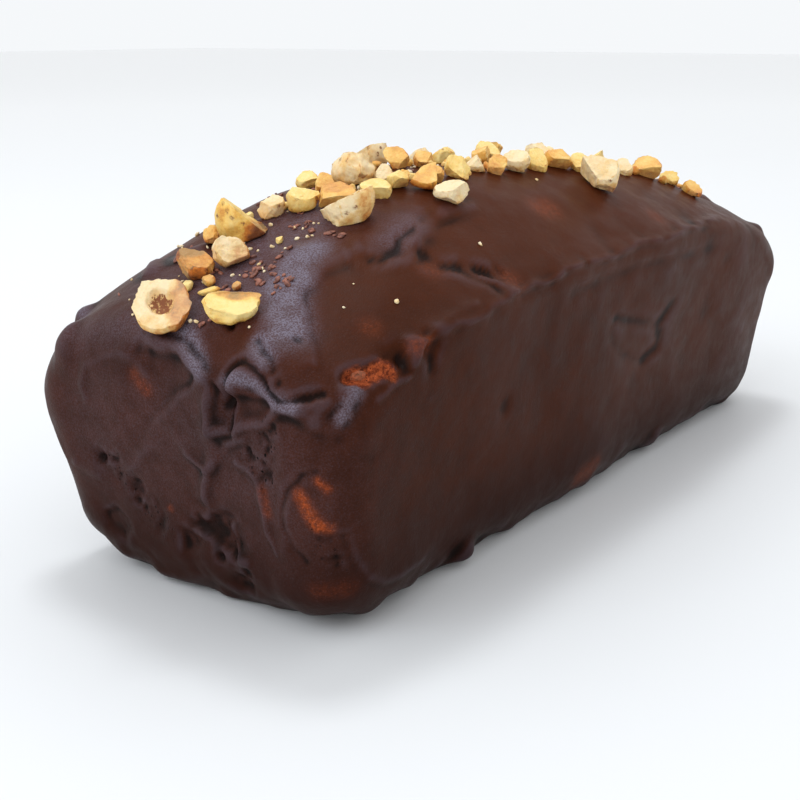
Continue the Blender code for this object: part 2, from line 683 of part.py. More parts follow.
def build_nuts(coat, materials):
    """Every large piece of nut, laid on the coat in turn."""
    coat_tree = mesh_tree(coat)
    laid = []
    for index, row in enumerate(NUTS):
        kind, x, y, length, width, thick, azimuth, elevation, spin = row
        size = np.array([length, width, thick]) * MM
        cells = HALF_MESH if kind == "half" else NUT_MESH
        if length < SMALL_LENGTH:
            cells = SMALL_MESH
        faces = ball_faces(*cells)
        grid = nut_form(kind, size, 100 + index, *cells)
        spot, out = coat_spot(coat_tree, x * MM, y * MM)
        turned = ball_vertices(grid) @ facing_matrix(azimuth, elevation, spin).T
        lifted = bedded(turned, out) + spot + out * length * MM
        placed = settle(lifted, faces, out, coat_tree, laid)
        laid.append((tree_of(placed, faces), placed.mean(0)))
        make_object(f"hazelnut_{index + 1:02d}", placed, faces, materials[index % 3])
    return laid


def build_chips(coat, material, laid):
    """Chips too small for a node of their own, fused to the coat clear of the nuts."""
    coat_tree = mesh_tree(coat)
    faces = ball_faces(*CHIP_MESH)
    pieces = []
    for index, (x, y, length, width, thick, spin) in enumerate(CHIPS):
        size = np.array([length, width, thick]) * MM
        grid = nut_form("chunk", size, 300 + index, *CHIP_MESH)
        flat = np.array([x, y]) * MM
        for _ in range(40):
            spot, out = coat_spot(coat_tree, *flat)
            azimuth = math.degrees(math.atan2(out[1], out[0]))
            elevation = math.degrees(math.asin(out[2]))
            turned = ball_vertices(grid) @ facing_matrix(azimuth, elevation, spin).T
            middle = spot + out * 0.15 * thick * MM
            tree = tree_of(middle + turned * 1.4, faces)
            met = [centre for other, centre in laid if tree.overlap(other)]
            if not met:
                break
            flat = flat + unit(middle - np.mean(met, axis=0))[:2] * 0.0005
        pieces.append(make_object(f"chip_{index + 1:02d}", turned + middle, faces, material))
    join_all(coat, pieces, "UNION")


def main():
    """Build the sponge, the coat round it and the nuts on top."""
    for thing in list(bpy.data.objects):
        bpy.data.objects.remove(thing, do_unlink=True)
    sponge_look = make_material("sponge", (0.20, 0.075, 0.030), 0.85)
    coat_look = make_material("chocolate", (0.040, 0.020, 0.015), 0.42)
    nut_looks = [make_material("hazelnut_cream", (0.76, 0.56, 0.30), 0.60),
                 make_material("hazelnut_gold", (0.70, 0.46, 0.19), 0.60),
                 make_material("hazelnut_toasted", (0.50, 0.25, 0.09), 0.62)]
    sponge = build_sponge(sponge_look)
    coat = build_coat(coat_look)
    spot, _ = coat_spot(mesh_tree(coat), *BARE_PATCH)
    join_all(coat, [patch_ball("hole", spot, BARE_RADII, 0.0, coat_look)], "DIFFERENCE")
    crumb = patch_ball("crumb", spot, CRUMB_RADII, CRUMB_SINK, sponge_look)
    join_all(sponge, [crumb], "UNION")
    laid = build_nuts(coat, nut_looks)
    build_chips(coat, nut_looks[0], laid)


main()
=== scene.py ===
"""Dressed model of a chocolate-coated loaf cake strewn with chopped hazelnuts.

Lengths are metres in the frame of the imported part: +X runs along the loaf to its
far end, +Y across it and +Z up from the floor. The coat and every nut are worked
out again on finer grids and stand where their solids stand. Tables that give
places and sizes in millimetres say so.
"""
import itertools
import logging
import math
from dataclasses import dataclass, field
from enum import Enum
from typing import Callable, ClassVar, Optional, Sequence, Union

import bpy
import numpy as np
from mathutils import Matrix, Vector
from mathutils.bvhtree import BVHTree


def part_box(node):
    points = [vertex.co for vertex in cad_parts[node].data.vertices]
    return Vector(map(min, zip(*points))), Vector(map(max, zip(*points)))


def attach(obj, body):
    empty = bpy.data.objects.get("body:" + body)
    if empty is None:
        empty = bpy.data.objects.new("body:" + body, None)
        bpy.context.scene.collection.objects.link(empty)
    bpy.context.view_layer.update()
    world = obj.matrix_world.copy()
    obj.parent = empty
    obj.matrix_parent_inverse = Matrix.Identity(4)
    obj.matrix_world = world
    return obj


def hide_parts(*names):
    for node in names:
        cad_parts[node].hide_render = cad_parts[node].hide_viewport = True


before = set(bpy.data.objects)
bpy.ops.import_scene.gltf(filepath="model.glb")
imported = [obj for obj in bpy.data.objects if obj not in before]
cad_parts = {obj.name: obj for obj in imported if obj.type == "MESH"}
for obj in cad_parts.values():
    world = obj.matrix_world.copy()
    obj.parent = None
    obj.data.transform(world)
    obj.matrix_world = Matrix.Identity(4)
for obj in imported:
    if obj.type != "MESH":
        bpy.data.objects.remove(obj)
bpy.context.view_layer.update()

log = logging.getLogger("loaf_cake")

Array = np.ndarray
Point = tuple[float, float, float]
Path = tuple[Point, ...]
Socket = bpy.types.NodeSocket
Feed = Union[float, tuple, Socket]

MM = 0.001
ABOVE_ALL = 0.2


# Helpers for shapes


def smooth(t: Array) -> Array:
    """Ease from 0 to 1 with level ends: 3t squared less 2t cubed."""
    t = np.clip(t, 0.0, 1.0)
    return t * t * (3.0 - 2.0 * t)


def unit(vectors: Array) -> Array:
    """Scale vectors to a length of one."""
    length = np.linalg.norm(vectors, axis=-1, keepdims=True)
    return vectors / np.maximum(length, 1e-12)


def waves(points: Array, size: float, seed: int) -> Array:
    """Smooth unevenness: seven sines in random directions, summed.

    Args:
        points: Places, the last axis being x, y and z.
        size: Width of a typical swell, in the unit of the points.
        seed: Seed of the directions and phases.

    Returns:
        Values of about -1 to 1, one for each point.
    """
    draw = np.random.default_rng(seed)
    total = np.zeros(points.shape[:-1])
    for _ in range(7):
        direction = unit(draw.normal(size=3)) * 2 * math.pi / (size * draw.uniform(0.8, 1.6))
        total += np.sin(points @ direction + draw.uniform(0, 2 * math.pi))
    return total / 3.0


def lattice_noise(points: Array, size: float, seed: int) -> Array:
    """Irregular swells: random values on a cubic lattice, eased between its corners.

    Args:
        points: Places, the last axis being x, y and z.
        size: Edge of a lattice cell, in the unit of the points.
        seed: Seed mixed into the value of every corner.

    Returns:
        Values from -1 to 1, one for each point.
    """
    cell = points / size
    low = np.floor(cell).astype(np.int64)
    share = smooth(cell - low)
    total = np.zeros(points.shape[:-1])
    for corner in itertools.product((0, 1), repeat=3):
        key = low + np.array(corner)
        mixed = key[..., 0] * 73856093 ^ key[..., 1] * 19349663 ^ key[..., 2] * 83492791
        mixed = (mixed ^ seed * 40503) * 1274126177
        mixed = (mixed ^ mixed >> 15) * 668265263
        value = (mixed >> 9 & 0xFFFF) / 32767.5 - 1.0
        weight = np.prod(np.where(np.array(corner) == 1, share, 1 - share), axis=-1)
        total += value * weight
    return total


def nearest_on_path(points: Array, path: Array) -> Array:
    """Offset of each point from the nearest place on a path of straight runs.

    Args:
        points: Places, the last axis being x, y and z.
        path: Corners of the path in the unit of the points.

    Returns:
        Point less nearest place, for each point.
    """
    best = None
    for start, end in zip(path[:-1], path[1:]):
        run = end - start
        share = np.clip((points - start) @ run / (run @ run), 0, 1)
        offset = points - start - share[..., None] * run
        if best is None:
            best = offset
        else:
            nearer = (offset ** 2).sum(-1) < (best ** 2).sum(-1)
            best = np.where(nearer[..., None], offset, best)
    return best


def facing_matrix(azimuth: float, elevation: float, spin: float) -> Array:
    """Rotation that turns +Z to a direction, after a spin about it.

    Args:
        azimuth: Turn of the direction from +X, in degrees.
        elevation: Rise of the direction above level, in degrees.
        spin: Turn about +Z that comes first, in degrees.

    Returns:
        Matrix of three by three.
    """
    turn = Matrix.Rotation(math.radians(azimuth), 3, "Z")
    tip = Matrix.Rotation(math.radians(90 - elevation), 3, "Y")
    return np.array(turn @ tip @ Matrix.Rotation(math.radians(spin), 3, "Z"))


def way_of(out: Array) -> tuple[float, float]:
    """Azimuth and elevation of a direction, in degrees."""
    return math.degrees(math.atan2(out[1], out[0])), math.degrees(math.asin(out[2]))


def below(tree: BVHTree, x: float, y: float) -> tuple:
    """What a ray cast straight down at a place meets: point, way out, face, distance."""
    return tree.ray_cast(Vector((x, y, ABOVE_ALL)), Vector((0, 0, -1)))


def ball_grid(around: int, up: int) -> Array:
    """Unit ball on a grid of polar angle by turn.

    Args:
        around: Columns.
        up: Steps between the rows, which run from the top pole down.

    Returns:
        Grid of points.
    """
    polar = np.linspace(0, math.pi, up + 1)[:, None]
    turn = (np.arange(around) * 2 * math.pi / around)[None, :]
    return np.stack([np.sin(polar) * np.cos(turn), np.sin(polar) * np.sin(turn),
                     np.cos(polar) * np.ones_like(turn)], axis=-1)


def ball_vertices(grid: Array) -> Array:
    """Vertices of a ball grid with one vertex for each pole."""
    flat = grid[1:-1].reshape(-1, *grid.shape[2:])
    return np.concatenate([grid[0, :1], flat, grid[-1, :1]])


def ball_faces(around: int, up: int) -> list[Array]:
    """Faces for the vertices of a ball grid.

    Args:
        around: Columns.
        up: Steps between the rows.

    Returns:
        Triangles at the poles, and quads between.
    """
    ring = np.arange(around)
    after = (ring + 1) % around
    last = 1 + (up - 1) * around
    top = np.stack([0 * ring, 1 + ring, 1 + after], axis=-1)
    low = np.stack([0 * ring + last, last - around + after, last - around + ring], axis=-1)
    row = 1 + around * np.arange(up - 2)[:, None]
    quads = np.stack([row + ring, row + around + ring, row + around + after, row + after],
                     axis=-1).reshape(-1, 4)
    return [np.concatenate([top, low]), quads]


def write_mesh(name: str, vertices: Array, faces: Sequence[Array],
               marks: dict[str, Array], finish: bpy.types.Material) -> bpy.types.Object:
    """Put arrays into a new smooth-shaded object that stands at the origin.

    Args:
        name: Name of the piece and of its mesh.
        vertices: One row of x, y and z for each vertex.
        faces: Arrays of vertex numbers, one row a face, each array of one face size.
        marks: Values for each vertex that the finish reads, by name.
        finish: Material of the piece.

    Returns:
        The new object.
    """
    mesh = bpy.data.meshes.new(name)
    sizes = np.concatenate([np.full(len(part), part.shape[1]) for part in faces])
    corners = np.concatenate([part.ravel() for part in faces])
    mesh.vertices.add(len(vertices))
    mesh.vertices.foreach_set("co", vertices.astype(np.float32).ravel())
    mesh.loops.add(len(corners))
    mesh.loops.foreach_set("vertex_index", corners.astype(np.int32))
    mesh.polygons.add(len(sizes))
    starts = np.concatenate([[0], np.cumsum(sizes)[:-1]])
    mesh.polygons.foreach_set("loop_start", starts.astype(np.int32))
    mesh.update(calc_edges=True)
    mesh.polygons.foreach_set("use_smooth", np.ones(len(sizes), bool))
    for mark, values in marks.items():
        layer = mesh.attributes.new(mark, "FLOAT", "POINT")
        layer.data.foreach_set("value", values.astype(np.float32).ravel())
    mesh.materials.append(finish)
    mesh.update()
    thing = bpy.data.objects.new(name, mesh)
    bpy.context.scene.collection.objects.link(thing)
    return thing


def report(thing: bpy.types.Object) -> None:
    """Log a finished piece with its count of triangles."""
    triangles = sum(len(face.vertices) - 2 for face in thing.data.polygons)
    log.info("%s: %d triangles", thing.name, triangles)


# Finishes


class NodeBoard:
    """The shader nodes of one material, wired by short calls."""

    def __init__(self, name: str) -> None:
        """Start a material with its Principled shader and object coordinates.

        Args:
            name: Name of the material.
        """
        self.material = bpy.data.materials.new(name)
        self.material.use_nodes = True
        self.tree = self.material.node_tree
        self.shader = self.tree.nodes["Principled BSDF"]
        self.place = self.tree.nodes.new("ShaderNodeTexCoord").outputs["Object"]

    def feed(self, socket: Socket, value: Feed) -> None:
        """Link a socket to another, or set its value.

        Args:
            socket: Input that is fed.
            value: Number, vector, colour or output.
        """
        if isinstance(value, bpy.types.NodeSocket):
            self.tree.links.new(value, socket)
        elif isinstance(value, tuple) and socket.type == "RGBA":
            socket.default_value = (*value, 1.0)
        else:
            socket.default_value = value

    def set(self, name: str, value: Feed) -> None:
        """Feed an input of the Principled shader."""
        self.feed(self.shader.inputs[name], value)

    def mark(self, name: str) -> Socket:
        """Value of a vertex mark.

        Args:
            name: Name of the mark on the mesh.

        Returns:
            The value, 0 to 1.
        """
        node = self.tree.nodes.new("ShaderNodeAttribute")
        node.attribute_name = name
        return node.outputs["Fac"]

    def axis(self, name: str) -> Socket:
        """One of the object coordinates.

        Args:
            name: X along the loaf, Y across it or Z upward.

        Returns:
            The coordinate in metres.
        """
        node = self.tree.nodes.new("ShaderNodeSeparateXYZ")
        self.feed(node.inputs[0], self.place)
        return node.outputs[name]

    def distance(self) -> Socket:
        """Length of the object coordinates as a vector.

        Returns:
            Distance from the middle of the floor in metres.
        """
        node = self.tree.nodes.new("ShaderNodeVectorMath")
        node.operation = "LENGTH"
        self.feed(node.inputs[0], self.place)
        return node.outputs["Value"]

    def stretch(self, scale: Point) -> Socket:
        """Object coordinates multiplied along each axis.

        Args:
            scale: Factor for x, y and z.

        Returns:
            The scaled place.
        """
        node = self.tree.nodes.new("ShaderNodeMapping")
        self.feed(node.inputs["Vector"], self.place)
        node.inputs["Scale"].default_value = scale
        return node.outputs["Vector"]

    def noise(self, scale: float, detail: float = 3.0, roughness: float = 0.5,
              vector: Optional[Socket] = None, distortion: float = 0.0) -> Socket:
        """Cloudy noise.

        Args:
            scale: Swells for each metre.
            detail: Number of finer layers.
            roughness: Weight of each layer against the one before.
            vector: Place to read it at, or the object coordinates.
            distortion: How far the swells are bent.

        Returns:
            Values about 0.5.
        """
        node = self.tree.nodes.new("ShaderNodeTexNoise")
        self.feed(node.inputs["Vector"], vector or self.place)
        node.inputs["Scale"].default_value = scale
        node.inputs["Detail"].default_value = detail
        node.inputs["Roughness"].default_value = roughness
        node.inputs["Distortion"].default_value = distortion
        return node.outputs["Fac"]

    def cells(self, scale: float, vector: Optional[Socket] = None) -> tuple[Socket, Socket]:
        """Cells round scattered points.

        Args:
            scale: Points for each metre.
            vector: Place to read them at, or the object coordinates.

        Returns:
            Distance from the nearest point in cells, and that point's own colour.
        """
        node = self.tree.nodes.new("ShaderNodeTexVoronoi")
        self.feed(node.inputs["Vector"], vector or self.place)
        node.inputs["Scale"].default_value = scale
        return node.outputs["Distance"], node.outputs["Color"]

    def math(self, operation: str, first: Feed, second: Feed = 0.0) -> Socket:
        """One arithmetic step.

        Args:
            operation: Blender's name of the step.
            first: First value.
            second: Second value.

        Returns:
            The result.
        """
        node = self.tree.nodes.new("ShaderNodeMath")
        node.operation = operation
        self.feed(node.inputs[0], first)
        self.feed(node.inputs[1], second)
        return node.outputs[0]

    def span(self, value: Socket, low: float, high: float,
             to_low: float = 0.0, to_high: float = 1.0) -> Socket:
        """Ease a value from one range to another, clamped.

        Args:
            value: Value to ease.
            low: Where the first range starts.
            high: Where the first range ends.
            to_low: What the start becomes.
            to_high: What the end becomes.

        Returns:
            The eased value.
        """
        node = self.tree.nodes.new("ShaderNodeMapRange")
        node.interpolation_type = "SMOOTHSTEP"
        self.feed(node.inputs["Value"], value)
        node.inputs["From Min"].default_value = low
        node.inputs["From Max"].default_value = high
        node.inputs["To Min"].default_value = to_low
        node.inputs["To Max"].default_value = to_high
        return node.outputs["Result"]

    def mix(self, share: Feed, first: Feed, second: Feed) -> Socket:
        """Blend two colours. The node keeps those of the colour mode past its first six.

        Args:
            share: Share of the second colour, 0 to 1.
            first: Colour at 0.
            second: Colour at 1.

        Returns:
            The blend.
        """
        node = self.tree.nodes.new("ShaderNodeMix")
        node.data_type = "RGBA"
        self.feed(node.inputs[0], share)
        self.feed(node.inputs[6], first)
        self.feed(node.inputs[7], second)
        return node.outputs[2]

    def ramp(self, value: Socket, stops: Sequence[tuple[float, Point]]) -> Socket:
        """Colour picked from a row of stops.

        Args:
            value: What picks the colour, 0 to 1.
            stops: Position and colour of each stop.

        Returns:
            The colour.
        """
        node = self.tree.nodes.new("ShaderNodeValToRGB")
        elements = node.color_ramp.elements
        while len(elements) < len(stops):
            elements.new(0.5)
        for element, (position, colour) in zip(elements, stops):
            element.position = position
            element.color = (*colour, 1.0)
        self.feed(node.inputs[0], value)
        return node.outputs[0]

    def bump(self, height: Socket, distance: float, strength: float = 1.0,
             under: Optional[Socket] = None) -> Socket:
        """Tilt the surface as a height map would.

        Args:
            height: Height, 0 to 1.
            distance: What a height of 1 stands for, in metres.
            strength: Share of the tilt that is taken.
            under: Normal that is tilted, or the surface's own.

        Returns:
            The tilted normal.
        """
        node = self.tree.nodes.new("ShaderNodeBump")
        node.inputs["Distance"].default_value = distance
        node.inputs["Strength"].default_value = strength
        self.feed(node.inputs["Height"], height)
        if under is not None:
            self.feed(node.inputs["Normal"], under)
        return node.outputs["Normal"]


@dataclass(frozen=True)
class ChocolateFinish:
    """Dark chocolate that set with a satin surface, thin in places.

    Dark and light are the two browns of the chocolate. The warm brown comes in far off
    and at the top, where it is partly painted light from above, and the deep brown
    darkens the foot as painted shade. The zones say from which height or place along the
    loaf to which the colour of a place comes in, in metres.
    """

    dark: Point = (0.0330, 0.0078, 0.0026)
    light: Point = (0.0560, 0.0128, 0.0042)
    # Warmer brown that comes in far off and at the top; at the top it is partly painted light
    # from above.
    warm_and_top_light: Point = (0.0830, 0.0205, 0.0068)
    # Painted shade: a darker brown toward the foot.
    foot_shade: Point = (0.0190, 0.0056, 0.0038)
    # Bluish grey of set fat, and partly a painted reflection of the window as sheen.
    bloom_and_sheen: Point = (0.1750, 0.1500, 0.1900)
    thin: Point = (0.2700, 0.0500, 0.0120)
    # Darker crumb, partly painted shade, and the painted shade in the crumb's holes.
    crumb_dark_and_shade: Point = (0.1100, 0.0200, 0.0080)
    crumb_light: Point = (0.4300, 0.0900, 0.0270)
    # Near black: painted shade in pores, pits and hollows.
    pore_shade: Point = (0.0040, 0.0022, 0.0018)
    roughness: float = 0.40
    specular: float = 0.045
    top_light_zone: tuple[float, float] = (0.055, 0.085)
    far_zone: tuple[float, float] = (-0.07, 0.09)
    foot_shade_zone: tuple[float, float] = (0.036, 0.006)

    def build(self) -> bpy.types.Material:
        """Wire the material.

        The colour drifts between two browns, warmer far off, warmer and paler at the top as
        partly painted light from above, and darker toward the foot as painted shade, with
        faint streaks down the walls and a fine dust of set fat. Marks on the coat bring in the
        dusty sheen of set fat with a painted reflection in it, painted highlights on crests
        and painted shade in hollows and pits, the thin places where the cake glows through,
        the bare place with painted shade in its crumb holes, and the pores, painted dark as
        shade.

        Returns:
            The finished material.
        """
        board = NodeBoard("poured_chocolate")
        drift = board.noise(26.0, 4.0, 0.55)
        mottle = board.noise(210.0, 4.0, 0.6)
        dust = board.noise(2600.0, 2.0, 0.6)
        streak = board.noise(1.0, 3.0, 0.6, board.stretch((520.0, 520.0, 24.0)))
        grain = board.noise(1400.0, 3.0, 0.6)
        blend = board.math("ADD", board.math("MULTIPLY", drift, 0.50),
                           board.math("MULTIPLY", mottle, 0.28))
        blend = board.math("ADD", blend, board.math("MULTIPLY", grain, 0.22))
        colour = board.mix(board.span(blend, 0.36, 0.66), self.dark, self.light)
        colour = board.mix(board.span(streak, 0.50, 0.80, 0.0, 0.30), colour, self.light)
        height = board.axis("Z")
        # Paler, warmer top: partly painted light from above.
        colour = board.mix(board.span(height, *self.top_light_zone, 0.0, 0.65), colour, self.warm_and_top_light)
        far_off = board.span(board.axis("X"), *self.far_zone, 0.0, 0.25)
        colour = board.mix(far_off, colour, self.warm_and_top_light)
        # Painted shade: darker toward the foot.
        colour = board.mix(board.span(height, *self.foot_shade_zone, 0.0, 0.75), colour, self.foot_shade)
        # Dusty sheen: set fat bloom and partly a painted reflection, speckled and patchy.
        fine = board.span(dust, 0.38, 0.62, 0.40, 1.20)
        patchy = board.span(mottle, 0.30, 0.62, 0.60, 1.0)
        bloom_and_sheen = board.math("MULTIPLY", board.mark("bloom_and_sheen"), patchy)
        bloom_and_sheen = board.math("MULTIPLY", bloom_and_sheen, fine)
        colour = board.mix(bloom_and_sheen, colour, self.bloom_and_sheen)
        specks = board.math("MULTIPLY", board.span(dust, 0.60, 0.72), 0.06)
        colour = board.mix(specks, colour, self.bloom_and_sheen)
        # Painted highlight: paler crests.
        colour = board.mix(board.math("MULTIPLY", board.mark("crest_highlight"), 0.12), colour, self.bloom_and_sheen)
        # Painted shade in hollows and pits.
        colour = board.mix(board.math("MULTIPLY", board.mark("hollow"), 0.85), colour, self.pore_shade)

        patch = board.span(board.noise(900.0, 5.0, 0.75), 0.36, 0.66, 0.30, 1.0)
        thin = board.math("MULTIPLY", board.mark("glow"), patch)
        sparkle = board.mix(board.span(dust, 0.52, 0.66), self.thin, self.crumb_light)
        colour = board.mix(thin, colour, sparkle)

        holes, _ = board.cells(1250.0)
        crumb_noise = board.noise(900.0, 5.0, 0.7)
        crumb = board.mix(board.span(crumb_noise, 0.36, 0.66), self.crumb_dark_and_shade, self.crumb_light)
        # Painted shade in the holes of the crumb.
        crumb = board.mix(board.span(holes, 0.10, 0.32, 1.0, 0.0), crumb, self.crumb_dark_and_shade)
        bare = board.mark("bare")
        colour = board.mix(bare, colour, crumb)

        # Pores painted dark as shade, in the porous areas.
        dots, own = board.cells(900.0, board.stretch((1.0, 1.0, 0.75)))
        chosen = board.span(own, 0.52, 0.60)
        reach = board.span(dots, 0.16, 0.30, 1.0, 0.0)
        pore_shade = board.math("MULTIPLY", board.math("MULTIPLY", reach, chosen), board.mark("porous"))
        colour = board.mix(pore_shade, colour, self.pore_shade)
        board.set("Base Color", colour)

        satin = board.math("ADD", board.span(mottle, 0.3, 0.7, -0.05, 0.06), self.roughness)
        satin = board.math("ADD", satin, board.math("MULTIPLY", bare, 0.22))
        satin = board.math("SUBTRACT", satin, board.math("MULTIPLY", board.mark("bloom_and_sheen"), 0.03))
        board.set("Roughness", satin)
        board.set("Specular IOR Level", self.specular)

        relief = board.bump(board.noise(330.0, 4.0, 0.55), 0.00020, 0.45)
        relief = board.bump(streak, 0.00008, 0.40, relief)
        relief = board.bump(dust, 0.00012, 0.80, relief)
        relief = board.bump(board.math("SUBTRACT", 1.0, pore_shade), 0.00050, 1.0, relief)
        rough_crumb = board.math("MULTIPLY", board.math("MULTIPLY", crumb_noise, holes), bare)
        relief = board.bump(rough_crumb, 0.00090, 1.0, relief)
        board.set("Normal", relief)
        return board.material


@dataclass(frozen=True)
class SpongeFinish:
    """Baked marble sponge: pale and cocoa crumb swirled together, with fine holes painted dark as
    shade.
    """

    pale: Point = (0.420, 0.225, 0.085)
    cocoa: Point = (0.075, 0.028, 0.013)
    crust: Point = (0.165, 0.050, 0.018)
    torn: Point = (0.420, 0.088, 0.026)
    # Painted shade in the holes of the crumb.
    hole_shade: Point = (0.030, 0.012, 0.006)
    stained_zone: tuple[float, float] = (0.010, 0.020)

    def build(self) -> bpy.types.Material:
        """Wire the material: a bent swirl of two crumbs, speckled, with holes painted dark as
        shade.

        The swirl shows at the underside. Above the stained zone, given as heights
        in metres, the crumb against the coat took the colour of the chocolate.

        Returns:
            The finished material.
        """
        board = NodeBoard("marble_sponge")
        swirl = board.noise(30.0, 2.0, 0.4, board.stretch((0.7, 1.3, 1.3)), 2.6)
        grain = board.noise(1100.0, 4.0, 0.65)
        holes, _ = board.cells(520.0)
        tiny, _ = board.cells(1500.0)
        colour = board.mix(board.span(swirl, 0.46, 0.56), self.pale, self.cocoa)
        crumb = board.mix(board.span(grain, 0.36, 0.66), self.crust, self.torn)
        colour = board.mix(board.span(board.axis("Z"), *self.stained_zone), colour, crumb)
        colour = board.mix(board.span(grain, 0.40, 0.75, 0.0, 0.55), colour, self.crust)
        # Holes painted dark as shade.
        colour = board.mix(board.span(holes, 0.08, 0.26, 0.85, 0.0), colour, self.hole_shade)
        colour = board.mix(board.span(tiny, 0.10, 0.30, 0.45, 0.0), colour, self.hole_shade)
        board.set("Base Color", colour)
        board.set("Roughness", board.span(grain, 0.3, 0.7, 0.78, 0.92))
        relief = board.bump(board.span(holes, 0.05, 0.40), 0.0007, 0.9)
        relief = board.bump(grain, 0.0004, 0.8, relief)
        board.set("Normal", relief)
        return board.material


class Tone(Enum):
    """How far a nut was roasted; the value is its material slot."""

    CREAM = "hazelnut_cream"
    GOLD = "hazelnut_gold"
    TOASTED = "hazelnut_toasted"


@dataclass(frozen=True)
class HazelnutFinish:
    """Roasted hazelnut flesh, paler where cut, browner where it caught the heat."""

    tone: Tone
    flesh: Point
    tan: Point
    brown: Point
    hollow: Point = (0.260, 0.085, 0.030)
    skin: Point = (0.240, 0.075, 0.026)
    glow_share: float = 0.12
    glow_depth: Point = (0.0016, 0.0009, 0.0004)

    def build(self) -> bpy.types.Material:
        """Wire the material.

        Marks on the nut say how toasted each place is, where it was cut, where the
        rim of a cut lies, where the hollow of its middle lies and where skin still
        clings. Fine noise breaks them up. Light goes a little way into the flesh.

        Returns:
            The finished material.
        """
        board = NodeBoard(self.tone.value)
        broad = board.noise(260.0, 4.0, 0.6)
        grain = board.noise(1300.0, 5.0, 0.7)
        fleck = board.noise(2300.0, 2.0, 0.5)
        patch = board.noise(420.0, 4.0, 0.6)
        toast = board.math("ADD", board.mark("toast"), board.span(broad, 0.30, 0.70, -0.18, 0.20))
        toast = board.math("ADD", toast, board.span(grain, 0.35, 0.65, -0.07, 0.07))
        singed = board.math("MULTIPLY", board.mark("rim"), board.span(patch, 0.46, 0.60))
        toast = board.math("ADD", toast, board.math("MULTIPLY", singed, 0.50))
        stops = [(0.0, self.flesh), (0.38, self.tan), (0.72, self.brown), (1.0, self.hollow)]
        colour = board.ramp(toast, stops)
        colour = board.mix(board.math("MULTIPLY", board.mark("cut"), 0.30), colour, self.flesh)
        rosy = board.math("MULTIPLY", board.mark("hollow"), 0.9)
        colour = board.mix(rosy, colour, self.tan)
        ragged = board.span(grain, 0.35, 0.65, -0.35, 0.35)
        shreds = board.math("ADD", board.mark("hollow"), ragged)
        colour = board.mix(board.span(shreds, 0.55, 0.85), colour, self.hollow)
        torn = board.math("MULTIPLY", board.mark("skin"), board.span(fleck, 0.40, 0.56, 0.3, 1.0))
        colour = board.mix(torn, colour, self.skin)
        colour = board.mix(board.span(fleck, 0.76, 0.80, 0.0, 0.40), colour, self.skin)
        board.set("Base Color", colour)
        board.set("Roughness", board.span(grain, 0.3, 0.7, 0.46, 0.64))
        board.set("Specular IOR Level", 0.35)
        board.set("Subsurface Weight", self.glow_share)
        board.set("Subsurface Radius", self.glow_depth)
        board.set("Subsurface Scale", 1.0)
        relief = board.bump(grain, 0.00035, 0.9)
        relief = board.bump(patch, 0.00060, 0.7, relief)
        board.set("Normal", relief)
        return board.material


@dataclass(frozen=True)
class CrumbFinish:
    """Crumbs and flakes of one kind: a colour that drifts to another."""

    name: str
    first: Point
    second: Point
    roughness: float = 0.6

    def build(self) -> bpy.types.Material:
        """Wire the material: two colours mixed by fine noise, with a rough surface.

        Returns:
            The finished material.
        """
        board = NodeBoard(self.name)
        fine = board.noise(560.0, 3.0, 0.6)
        board.set("Base Color", board.mix(board.span(fine, 0.36, 0.64), self.first, self.second))
        board.set("Roughness", self.roughness)
        board.set("Normal", board.bump(board.noise(3000.0, 3.0, 0.6), 0.00015, 0.8))
        return board.material


# The loaf


